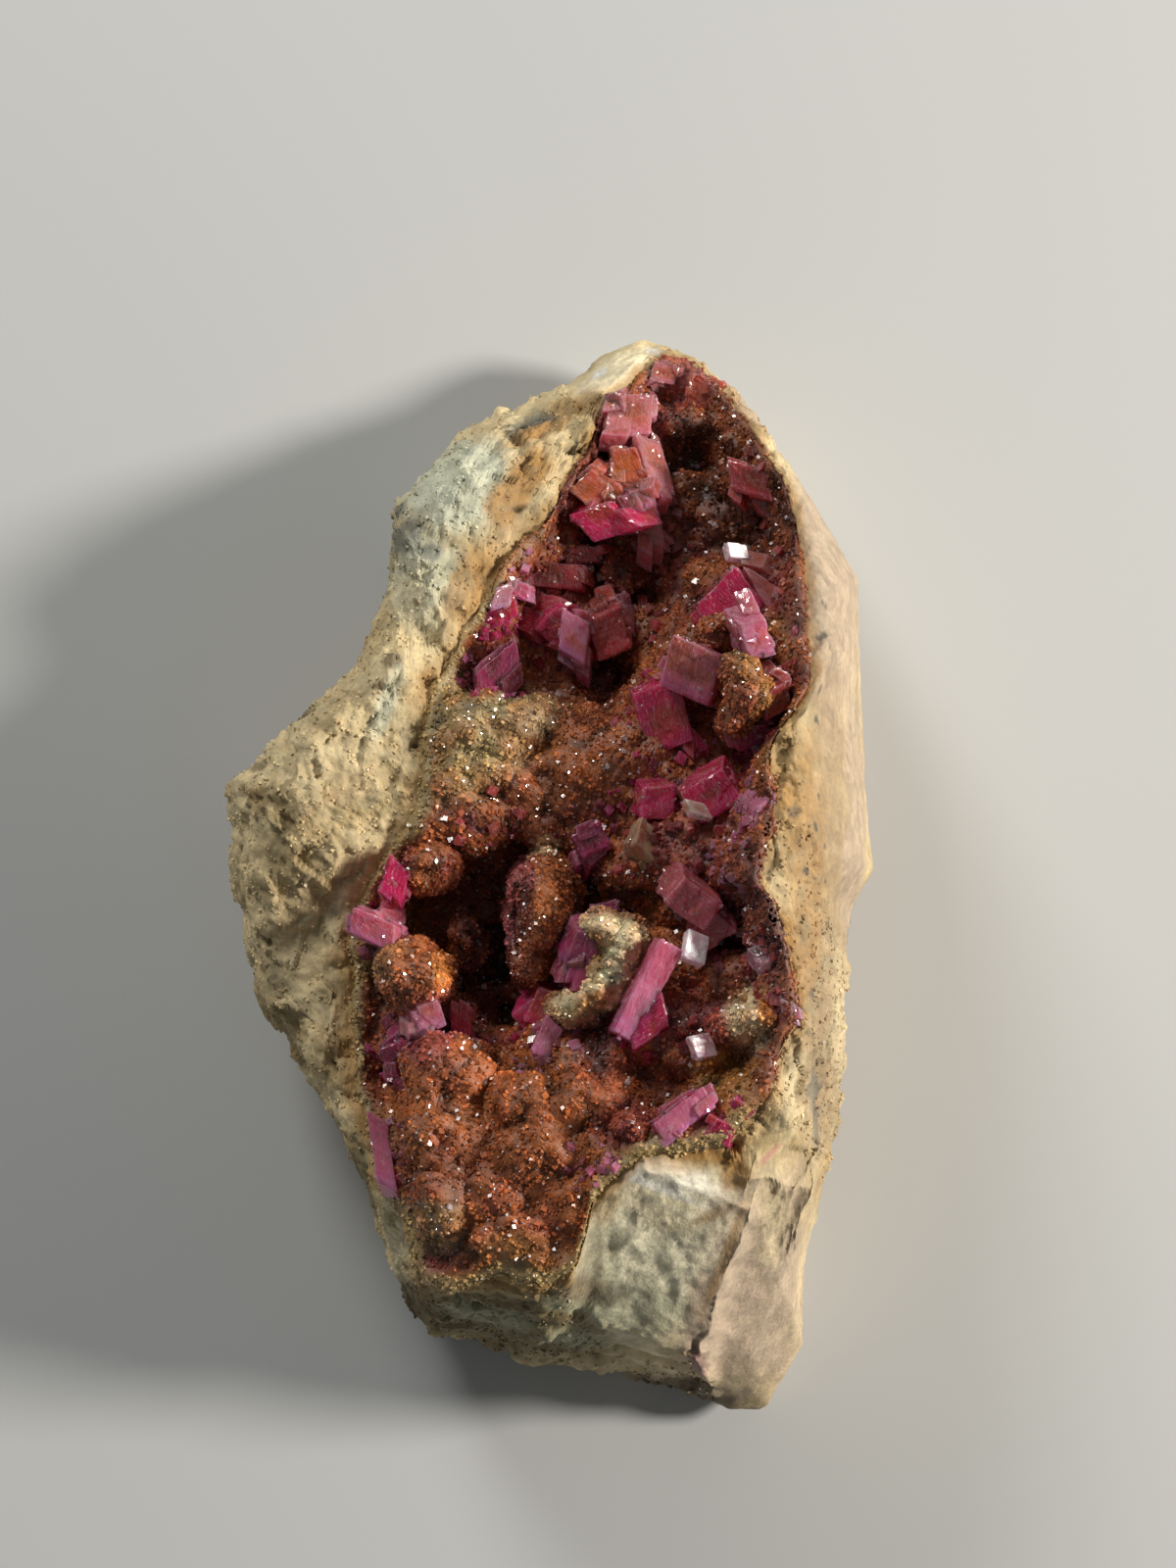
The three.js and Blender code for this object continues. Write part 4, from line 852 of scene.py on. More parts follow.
@dataclass(frozen=True)
class Finish:
    """How one material looks.

    Attributes:
        name: The material's name.
        roughness: Least and greatest roughness.
        ior: Refractive index.
        grain: Size of the fine bumps.
        bump: Height of the fine bumps.
        speckle: How far fine noise changes the colour.
        transmission: Share of light that enters a clear body.
        absorption: Colour that a clear body lets through.
        density: Absorption in each metre.
        subsurface: Share of light that spreads inside.
        stretch: How the noise is squeezed along each own edge.
        lines: How bright the thin pale lines inside are.
    """

    name: str
    roughness: tuple[float, float]
    ior: float
    grain: float
    bump: float
    speckle: float
    transmission: float = 0.0
    absorption: tuple[float, float, float] | None = None
    density: float = 0.0
    subsurface: float = 0.0
    stretch: tuple[float, float, float] = (1.0, 1.0, 1.0)
    lines: float = 0.0

    def material(self) -> bpy.types.Material:
        """Builds the material, or returns the one that is there.

        Returns:
            The material.
        """
        found = bpy.data.materials.get(self.name)
        if found:
            return found
        made = bpy.data.materials.new(self.name)
        made.use_nodes = True
        tree = made.node_tree
        shader = tree.nodes["Principled BSDF"]
        shader.inputs["IOR"].default_value = self.ior
        shader.inputs["Transmission Weight"].default_value = self.transmission
        if self.subsurface:
            shader.inputs["Subsurface Weight"].default_value = self.subsurface
            shader.inputs["Subsurface Radius"].default_value = (1.0, 0.45, 0.6)
            shader.inputs["Subsurface Scale"].default_value = 1.5 * MM
        tint = add_node(tree, "ShaderNodeAttribute", {}, attribute_name="tint")
        place = add_node(tree, "ShaderNodeAttribute", {}, attribute_name="own")
        inputs = {0: place.outputs["Vector"], 1: self.stretch}
        squeeze = add_node(tree, "ShaderNodeVectorMath", inputs, operation="MULTIPLY")
        squeezed = squeeze.outputs["Vector"]
        scale = 1 / (self.grain * MM)
        inputs = {"Scale": scale, "Detail": 4, "Roughness": 0.65, "Vector": squeezed}
        noise = add_node(tree, "ShaderNodeTexNoise", inputs).outputs["Fac"]
        shade = add_range(tree, noise, (0.3, 0.7), (1 - self.speckle, 1 + self.speckle))
        inputs = {0: tint.outputs["Color"], "Scale": shade}
        scaled = add_node(tree, "ShaderNodeVectorMath", inputs, operation="SCALE")
        colour = scaled.outputs["Vector"]
        if self.lines:
            colour = self.lined(tree, colour, squeezed)
        tree.links.new(colour, shader.inputs["Base Color"])
        gloss = add_range(tree, noise, (0.35, 0.65), self.roughness)
        tree.links.new(gloss, shader.inputs["Roughness"])
        if self.bump:
            inputs = {"Strength": 1.0, "Distance": self.bump * MM, "Height": noise}
            bump = add_node(tree, "ShaderNodeBump", inputs)
            tree.links.new(bump.outputs["Normal"], shader.inputs["Normal"])
        if self.absorption:
            inputs = {"Color": (*self.absorption, 1), "Density": self.density}
            body = add_node(tree, "ShaderNodeVolumeAbsorption", inputs)
            out = tree.nodes["Material Output"]
            tree.links.new(body.outputs["Volume"], out.inputs["Volume"])
        return made

    def lined(self, tree: Tree, colour: Socket, place: Socket) -> Socket:
        """Lays thin pale lines over the colour, where fine noise is close to a half.

        Args:
            tree: The material's nodes.
            colour: The colour without lines.
            place: The squeezed places.

        Returns:
            The colour with lines.
        """
        inputs = {"Scale": 0.55 / (self.grain * MM), "Detail": 3, "Vector": place}
        fine = add_node(tree, "ShaderNodeTexNoise", inputs).outputs["Fac"]
        off = add_node(tree, "ShaderNodeMath", {0: fine, 1: 0.5}, operation="SUBTRACT")
        size = add_node(tree, "ShaderNodeMath", {0: off.outputs["Value"]}, operation="ABSOLUTE")
        thin = add_range(tree, size.outputs["Value"], (0.0, 0.018), (self.lines, 0.0))
        inputs = {"Factor": thin, "A": colour, "B": (0.95, 0.8, 0.85, 1)}
        return add_node(tree, "ShaderNodeMix", inputs, data_type="RGBA").outputs["Result"]


ROCK = Finish("dolomite rock", (0.55, 0.95), 1.5, 0.45, 0.1, 0.2)
DRUSE = Finish("brown druse", (0.2, 0.55), 1.6, 0.2, 0.09, 0.45)
GRAIN = Finish("druse grains", (0.08, 0.3), 1.68, 0.4, 0.02, 0.15)
CHIP = Finish("rock grains", (0.4, 0.8), 1.55, 0.4, 0.02, 0.2)
GLINT = Finish("bright facets", (0.02, 0.06), 2.2, 1.0, 0.0, 0.05)
FACET = Finish(
    "white facets", (0.08, 0.3), 1.68, 0.5, 0.02, 0.3,
    subsurface=0.6, stretch=(5.0, 1.0, 1.0), lines=0.5,
)
PINK_CLEAR = Finish(
    "pink dolomite", (0.02, 0.16), 1.68, 0.7, 0.02, 0.25, transmission=0.4,
    absorption=(0.98, 0.4, 0.52), density=60, subsurface=0.8, stretch=(4.0, 1.0, 1.3), lines=0.6,
)


@dataclass
class Surface:
    """Points and triangles with a colour at each point.

    Attributes:
        points: Places in millimetres.
        faces: Corners of the triangles, shape (m, 3).
        colours: Linear colours.
        own: Places along a crystal's own edges, shape (n, 3), or None.
    """

    points: Array
    faces: Array
    colours: Array
    own: Array | None = None

    def normals(self) -> Array:
        """Directions out of the surface at each point: the mean of the faces round it.

        Returns:
            Unit vectors.
        """
        a, b, c = (self.points[self.faces[:, k]] for k in range(3))
        across = np.cross(b - a, c - a)
        total = np.zeros_like(self.points)
        for k in range(3):
            np.add.at(total, self.faces[:, k], across)
        return total / np.maximum(np.linalg.norm(total, axis=1), 1e-12)[:, None]

    def build(self, name: str, finish: Finish, slot: str, flat: bool) -> bpy.types.Object:
        """Makes the object and lets it ride on the specimen.

        Args:
            name: The object's name.
            finish: Its material.
            slot: Not used.
            flat: Whether its faces are drawn flat.

        Returns:
            The object.
        """
        mesh = bpy.data.meshes.new(name)
        points = np.clip(self.points, BOX_LOW, BOX_HIGH) * MM
        mesh.from_pydata(points, [], self.faces)
        paint = mesh.attributes.new("tint", "FLOAT_COLOR", "POINT")
        rgba = np.column_stack((self.colours, np.ones(len(points)))).astype(np.float32)
        paint.data.foreach_set("color", rgba.ravel())
        own = self.points if self.own is None else self.own
        along = mesh.attributes.new("own", "FLOAT_VECTOR", "POINT")
        along.data.foreach_set("vector", (own * MM).astype(np.float32).ravel())
        mesh.polygons.foreach_set("use_smooth", np.full(len(self.faces), not flat))
        mesh.materials.append(finish.material())
        mesh.update()
        made = bpy.data.objects.new(name, mesh)
        bpy.context.scene.collection.objects.link(made)
        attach(made, ROOT)
        log.info("%s: %d triangles", name, len(self.faces))
        return made


def joined(parts: list[Surface]) -> Surface:
    """Puts surfaces together without welding them."""
    starts = np.cumsum([0] + [len(p.points) for p in parts[:-1]])
    return Surface(
        np.vstack([p.points for p in parts]),
        np.vstack([p.faces + start for p, start in zip(parts, starts)]),
        np.vstack([p.colours for p in parts]),
        np.vstack([p.points if p.own is None else p.own for p in parts]),
    )


def ring_faces(rings: int, round_count: int) -> Array:
    """Triangles of a closed solid: first point, rings, last point.

    Args:
        rings: How many rings.
        round_count: Points in each ring.

    Returns:
        Corners, shape (m, 3).
    """
    i = np.arange(round_count)
    after = (i + 1) % round_count
    last = 1 + rings * round_count
    parts = [np.column_stack((np.zeros_like(i), 1 + after, 1 + i))]
    low = 1 + round_count * np.arange(rings - 1)[:, None]
    a, b = (low + i).ravel(), (low + after).ravel()
    c, d = a + round_count, b + round_count
    parts += [np.column_stack((a, b, d)), np.column_stack((a, d, c))]
    end = 1 + (rings - 1) * round_count
    parts.append(np.column_stack((end + i, end + after, np.full_like(i, last))))
    return np.vstack(parts)


@dataclass
class Section:
    """The rock and its rim in many directions round the centre."""

    count: int = 720
    window: int = 5  # directions averaged to round the corners
    wander: float = 0.5  # how far the rim strays from its listed places

    def __post_init__(self) -> None:
        """Reads outline and rim along each direction."""
        self.angles = even_angles(self.count)
        self.ray = np.column_stack((np.cos(self.angles), np.sin(self.angles)))
        outline = evened(crossing(OUTLINE, self.angles), self.window)
        rim = evened(crossing(RIM, self.angles), self.window)
        self.reach, self.foot, self.shoulder = outline.T
        self.rim, self.rim_height = rim.T
        edge = np.column_stack((self.rim[:, None] * self.ray, self.rim_height))
        self.rim = self.rim + self.wander * hills(edge, 2.0, 3, 3)
        self.rim_height = self.rim_height + self.wander * hills(edge, 2.5, 3, 5)

    def place(self, distance: Array, height: Array) -> Array:
        """Points at a distance and height, one in each direction."""
        flat = CENTRE + self.ray * np.broadcast_to(distance, self.rim.shape)[:, None]
        return np.column_stack((flat, np.broadcast_to(height, self.rim.shape)))

    def bed(self, distance: Array) -> Array:
        """Points of the rock under the crust.

        Args:
            distance: Distances from the centre.

        Returns:
            Points, shape (count, 3).
        """
        x, y, _ = self.place(distance, 0.0).T
        wall = self.rim_height - CRUST_THICKNESS
        mean = mean_height(x, y, BED_SOFTNESS) - CRUST_THICKNESS - BED_DEPTH
        floor = np.minimum(mean, relief_height(x, y) - CRUST_THICKNESS)
        inward = self.rim - distance
        return self.place(distance, mix(wall, floor, smooth(0, 3.5, inward)))

    def bed_middle(self) -> float:
        """Height of the bed in the middle."""
        return self.bed(np.full_like(self.rim, 0.1))[:, 2].mean()

    def inside(self, points: Array) -> Array:
        """How far places lie in from the rim on their way to the centre.

        Args:
            points: Places.

        Returns:
            Distances, negative outside the rim.
        """
        flat = points[:, :2] - CENTRE
        angle = np.arctan2(flat[:, 1], flat[:, 0])
        rim = np.interp(angle, self.angles, self.rim, period=2 * math.pi)
        return rim - np.linalg.norm(flat, axis=1)


@dataclass
class MatrixRock:
    """The rock, as rings from the middle of its underside up and over into its bed."""

    section: Section
    wall_rings: int = 20
    slope_rings: int = 88
    base_shares: tuple[float, ...] = (0.35, 0.65)
    undercut: tuple[float, float] = (1.5, 0.3)  # at the floor, and more with the height
    block_softness: float = 0.8

    def slope_ring(self, k: float) -> Array:
        """One ring between the widest line and the rim, with knolls and blocks.

        Args:
            k: 0 at the widest line, 1 at the rim.

        Returns:
            Points, shape (count, 3).
        """
        s = self.section
        distance = mix(s.reach, s.rim, k)
        x, y, _ = s.place(distance, 0.0).T
        climb = 1 - (1 - k) ** s.shoulder
        room = smooth(0, 3, distance - s.rim)
        height = mix(s.foot, s.rim_height, climb) + room * knoll_rise(x, y)
        here = np.column_stack((x, y, height))
        sway = 0.6 * smooth(0.05, 0.3, k)
        aside, along = (sway * hills(here, 2.4, 3, seed) for seed in (51, 52))
        for row in BLOCKS:
            apart = block_height(x + aside, y + along, row) - height
            soft = self.block_softness
            joint = np.maximum(apart, 0) + np.log1p(np.exp(-np.abs(apart) / soft)) * soft
            fade = smooth(0, 2, distance - s.rim), smooth(0, 2.5, s.reach - distance)
            height = height + joint * fade[0] * fade[1]
        return s.place(distance, height)

    def rings(self) -> tuple[Array, Array]:
        """Places the rings before they are roughened.

        Returns:
            Points, shape (rings, count, 3), and how rough each may be, from 0 to 1.
        """
        s = self.section
        undercut = self.undercut[0] + self.undercut[1] * s.foot
        rows = [s.place(s.reach * k, 0.0) for k in self.base_shares]
        rows.append(s.place(s.reach - undercut - 1.5, 0.0))
        rough = [0.0] * len(rows)
        for k in np.linspace(0, 1, self.wall_rings, endpoint=False):
            rows.append(s.place(s.reach - undercut * (1 - k) ** 1.4, s.foot * k))
            rough.append(min(1.0, 2.5 * k))
        for k in np.linspace(0, 1, self.slope_rings):
            rows.append(self.slope_ring(k))
            rough.append(1 - 0.7 * smooth(0.92, 1, k))
        for inward, drop in ((0.35, 0.7), (0.7, 2.4)):
            rows.append(s.place(s.rim - inward, s.rim_height - drop))
            rough.append(0.3)
        rows += [s.bed(s.rim - inward) for inward in BED_EDGE]
        rows += [s.bed(share * (s.rim - BED_EDGE[1])) for share in BED_SHARES[::-1]]
        rough += [0.0] * (len(rows) - len(rough))
        return np.array(rows), np.array(rough)

    def surface(self) -> Surface:
        """Roughens and colours the rock.

        Returns:
            The rock's surface.
        """
        rows, rough = self.rings()
        middle = np.array((*CENTRE, self.section.bed_middle()))
        points = np.vstack(((CENTRE[0], CENTRE[1], 0), rows.reshape(-1, 3), middle))
        surface = Surface(points, ring_faces(len(rows), rows.shape[1]), np.zeros_like(points))
        amount = np.concatenate(((0,), np.repeat(rough, rows.shape[1]), (0,)))
        even = evenness(points[:, 0], points[:, 1])
        coarse, _, value = chips(points, 3.4, 11, 2.2, 0.0)
        coarse = coarse + 0.5 * (value[:, 0] - 0.5)
        fine, near, value = chips(points, 1.3, 12, 1.0, 0.25)
        lift = 0.9 * hills(points, 5.0, 5, 21) + 0.55 * coarse + 0.35 * fine
        lift = lift + 0.3 * hills(points, 0.9, 3, 23)
        pits = smooth(0.5, 0.8, hills(points, 2.6, 3, 31))
        lift = (lift - 1.3 * pits) * amount * (1 - even)
        lift = lift + 0.12 * even * hills(points, 1.2, 3, 25)
        inside = np.clip(lift - 0.25, -1.6, 0.9)
        surface.points = points + surface.normals() * inside[:, None]
        surface.points[:, 2] = np.maximum(surface.points[:, 2], 0)
        surface.colours = self.colours(points, value, near, pits, lift)
        return surface

    def colours(
        self, points: Array, value: Array, near: Array, pits: Array, lift: Array
    ) -> Array:
        """Colours the rock: buff grains, stained areas, dark specks, and painted shade in pits
        and dents.

        Args:
            points: Places before roughening.
            value: Random values of each grain.
            near: Distance from each grain's seed.
            pits: Depth of the pits, 0 to 1.
            lift: The roughening.

        Returns:
            Linear colours.
        """
        x, y = points[:, 0], points[:, 1]
        tone = 0.5 + 0.5 * hills(points, 4.0, 4, 41)
        colour = mix(Tint.LOAM.light, Tint.BUFF.light, smooth(0.2, 0.7, tone)[:, None])
        stain = smooth(0.35, 0.8, hills(points, 6.0, 3, 43))
        colour = mix(colour, Tint.OCHRE.light, 0.5 * stain[:, None])
        colour = painted(points, colour, ROCK_PATCHES, 61)
        even = evenness(x, y)
        mottle = smooth(-0.15, 0.75, hills(points, 1.4, 5, 49)) * (1 - 0.5 * even)
        colour = mix(colour, Tint.SAGE.light * 0.75, 0.34 * mottle[:, None])
        margin_band = smooth(1, 0.6, np.sqrt(oval_reach(x, y, SPECKED_AREA)))
        specks = smooth(0.42, 0.54, hills(points, 1.3, 3, 47)) * margin_band
        colour = mix(colour, Tint.SLATE.light * 0.5, 0.8 * specks[:, None])
        light = 0.88 + 0.3 * value[:, 1] - 0.12 * near
        colour = colour * light[:, None]
        margin = -self.section.inside(points) + 1.2 * hills(points, 2.5, 3, 45)
        colour = mix(colour, Tint.OCHRE.light, 0.55 * smooth(2.4, 0.4, margin)[:, None])
        # Painted shade: the pits and the places the roughening sinks are darkened with umber,
        # less where the rock is smooth.
        low = np.clip(0.45 * pits + 0.25 * smooth(0.0, -1.0, lift), 0, 0.85)
        low = (1 - 0.6 * even) * low
        return mix(colour, Tint.UMBER.light * 0.8, low[:, None])

    def build(self) -> Surface:
        """Makes the rock's mesh in place of its node.

        Returns:
            The surface.
        """
        rock = self.surface()
        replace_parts(rock.build("rock_body", ROCK, "rock", False), ROCK_NODE)
        return rock


def crust_colours(points: Array, swell: Array, value: Array) -> Array:
    """Colours the druse: a painted glow on its swellings, wine at its edges, painted shade in the
    dips between them.

    Args:
        points: Places.
        swell: Height in each small swelling, up to 1.
        value: Random values of each grain.

    Returns:
        Linear colours.
    """
    tone = 0.5 + 0.5 * hills(points, 3.0, 4, 81)
    colour = mix(Tint.DRUSE.light, Tint.SIENNA.light, smooth(0.35, 0.8, tone)[:, None])
    pink = smooth(0.1, 0.55, hills(points, 4.5, 3, 83))
    colour = mix(colour, Tint.WINE.light, 0.55 * pink[:, None])
    colour = painted(points, colour, CRUST_PATCHES, 91)
    # Painted light: the tops of the small swellings are made warmer and lighter, a glow.
    swell_glow = Tint.SIENNA.light * (1.15, 0.9, 0.8)
    colour = mix(colour, swell_glow, 0.35 * smooth(0.3, 0.95, swell)[:, None])
    # Painted shade: the dips between the swellings are darkened towards near black.
    dip_shade = smooth(0.5, -0.4, swell)
    colour = mix(colour, Tint.DARK.light * 0.7, 0.65 * dip_shade[:, None])
    return colour * (0.75 + 0.5 * value[:, 1])[:, None]


@dataclass
class CrystalCrust:
    """The druse that lines the hollow, as rings from its underside up and inwards."""

    section: Section
    top_rings: int = 124
    gap: float = 0.5  # from the rock's bed up to its underside
    overlap: float = 0.5  # out under the rock's rim

    def rings(self) -> tuple[Array, int]:
        """Places the rings before they are roughened.

        Returns:
            Points, shape (rings, count, 3), and how many rings lie underneath.
        """
        s = self.section
        up = (0, 0, self.gap)
        rows = [s.bed(share * (s.rim - BED_EDGE[1])) + up for share in BED_SHARES]
        rows += [s.bed(s.rim - inward) + up for inward in BED_EDGE[::-1]]
        rows.append(s.place(s.rim - 1.0, s.rim_height - 2.2))
        under = len(rows)
        rows.append(s.place(s.rim + 0.6, s.rim_height - 1.2))
        for k in np.linspace(0, 1, self.top_rings, endpoint=False):
            distance = (s.rim + self.overlap) * (1 - k)
            x, y, _ = s.place(distance, 0.0).T
            inward = s.rim - distance
            edge = s.rim_height + 0.35 - 0.8 * smooth(0.3, -0.5, inward)
            relief = mix(edge, relief_height(x, y), smooth(0, 4.5, inward))
            rows.append(s.place(distance, relief))
        return np.array(rows), under

    def surface(self) -> Surface:
        """Roughens and colours the crust.

        Returns:
            The crust's surface.
        """
        s = self.section
        stack, under = self.rings()
        middle_low = np.array((*CENTRE, s.bed_middle() + self.gap))
        middle_top = np.array((*CENTRE, relief_height(*CENTRE[:, None])[0]))
        points = np.vstack((middle_low, stack.reshape(-1, 3), middle_top))
        surface = Surface(points, ring_faces(len(stack), stack.shape[1]), np.zeros_like(points))
        top = np.repeat(np.arange(len(stack)) > under, stack.shape[1])
        inward = (s.rim - np.linalg.norm(stack[:, :, :2] - CENTRE, axis=2)).ravel()
        inward = np.concatenate(((9,), inward, (9,)))
        amount = np.concatenate(((0,), top, (1,))) * (0.2 + 0.8 * smooth(0, 2, inward))
        swell = knobbly(points, 2.3, 71)
        chip, _, value = chips(points, 0.95, 72, 0.9, 0.3)
        lift = 0.45 * swell + 0.4 * chip + 1.2 * hills(points, 4.5, 4, 73)
        moved = points + surface.normals() * (amount * (lift - 0.1))[:, None]
        surface.points = moved
        x, y = moved[:, 0], moved[:, 1]
        fringe = smooth(1.5, 0.2, inward + 0.8 * hills(points, 2.0, 3, 79)) * smooth(34, 20, y)
        fringe = fringe * np.maximum(smooth(14, 6, x), smooth(-22, -26, y))
        # Painted shade: the crust just inside the high right rim is darkened, as the wall shades
        # it.
        shade = smooth(1.6, 0.4, inward) * smooth(12, 16, x) * smooth(-24, -20, y)
        colour = crust_colours(moved, swell, value)
        colour = mix(colour, Tint.DARK.light, 0.35 * shade[:, None])
        surface.colours = mix(colour, Tint.OLIVEDRUSE.light, 0.85 * fringe[:, None])
        return surface

    def build(self) -> Surface:
        """Makes the crust's mesh in place of its node.

        Returns:
            The surface.
        """
        crust = self.surface()
        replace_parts(crust.build("druse_crust", DRUSE, "crystal", False), CRUST_NODE)
        return crust


@dataclass
class Knobs:
    """The knobs that stand free of the crust."""

    across: int = 56  # points round a knob
    up: int = 34  # rings from foot to top
    calm: float = 0.65  # share of the roughness on the pale ridge

    def knob(self, row: Row) -> Surface:
        """An uneven egg-shaped knob that stands on the floor.

        Args:
            row: x, y, top, half width, half length, turn.

        Returns:
            The knob's surface.
        """
        x, y, top, half_width, half_length, turn = row
        floor = mean_height(np.array((x,)), np.array((y,)), FLOOR_SOFTNESS)[0]
        half_height = max((half_width + half_length) / 2, 0.6 * (top - floor))
        azimuth = np.linspace(0, 2 * math.pi, self.across, endpoint=False)
        polar = np.linspace(math.pi, 0, self.up + 2)[1:-1]
        u = np.outer(np.sin(polar), np.cos(azimuth)).ravel()
        v = np.outer(np.sin(polar), np.sin(azimuth)).ravel()
        w = np.repeat(np.cos(polar), self.across)
        ball = np.vstack(((0, 0, -1), np.column_stack((u, v, w)), (0, 0, 1)))
        body = ball * np.array((half_width, half_length, half_height))
        here = body + (x, y, top)
        swell = knobbly(here, 2.1, 75)
        chip, _, value = chips(here, 0.8, 76, 0.8, 0.3)
        plain = self.calm if (x, y) in RIDGE_KNOBS else 1.0
        lift = plain * (0.4 * swell + 0.35 * chip) + 1.5 * plain * hills(here, 3.2, 4, 77) - 0.2
        bx, by, bz = (body + ball * lift[:, None]).T
        c, s = math.cos(math.radians(turn)), math.sin(math.radians(turn))
        sides = (x + bx * c - by * s, y + bx * s + by * c)
        points = np.column_stack((*sides, top + bz - half_height))
        hollow = np.sqrt(oval_reach(points[:, 0], points[:, 1], FINGER_HOLLOW))
        upper = points[:, 2] > top - half_height
        points[:, 2] -= np.where(upper, 3.0 * smooth(1.3, 0.4, hollow), 0)
        faces = ring_faces(self.up, self.across)
        return Surface(points, faces, crust_colours(points, swell, value))

    def build(self) -> Surface:
        """Makes the knobs' mesh.

        Returns:
            The surface.
        """
        knobs = joined([self.knob(row) for row in KNOBS])
        knobs.build("knobs", DRUSE, "crystal", False)
        return knobs


def edges_of(row: Row) -> tuple[Array, Array]:
    """Corner and edges of a leaning block; the third is square to two, leaned a fifth.

    Args:
        row: x, y, z, then length, heading and rise of two edges, and depth.

    Returns:
        The highest corner, and the edges as rows.
    """
    x, y, z, length_a, heading_a, rise_a, length_b, heading_b, rise_b, depth = row
    heads = np.radians((heading_a, heading_b))
    flat = np.column_stack((np.cos(heads), np.sin(heads)))
    flat = flat * np.array((length_a, length_b))[:, None]
    a, b = np.column_stack((flat, (rise_a, rise_b)))
    normal = np.cross(a, b)
    normal = normal / np.linalg.norm(normal) * (-1 if normal[2] > 0 else 1)
    lean = a / np.linalg.norm(a) + b / np.linalg.norm(b)
    down = normal + lean * 0.2 * (1 if a @ b > 0 else -1)
    down = down / np.linalg.norm(down) * depth
    return np.array((x, y, z)), np.array((a, b, down))


def block_grid(cells: int) -> tuple[Array, Array]:
    """A cube's surface from -1 to 1, each face a grid, welded at the edges.

    Args:
        cells: Cells along an edge.

    Returns:
        Points and triangles.
    """
    t = np.linspace(-1, 1, cells + 1)
    u, v = (g.ravel() for g in np.meshgrid(t, t, indexing="ij"))
    points, faces = [], []
    i, j = (g.ravel() for g in np.meshgrid(np.arange(cells), np.arange(cells), indexing="ij"))
    a = i * (cells + 1) + j
    b, c, d = a + cells + 1, a + cells + 2, a + 1
    for axis in range(3):
        for side in (-1, 1):
            face = np.empty((len(u), 3))
            face[:, axis] = side
            face[:, (axis + 1) % 3] = u
            face[:, (axis + 2) % 3] = v
            start = len(points) * len(u)
            quad = np.vstack((np.column_stack((a, b, c)), np.column_stack((a, c, d)))) + start
            faces.append(quad if side > 0 else quad[:, ::-1])
            points.append(face)
    stack = np.round(np.vstack(points), 6)
    unique, index = np.unique(stack, axis=0, return_inverse=True)
    return unique, index.reshape(-1)[np.vstack(faces)]


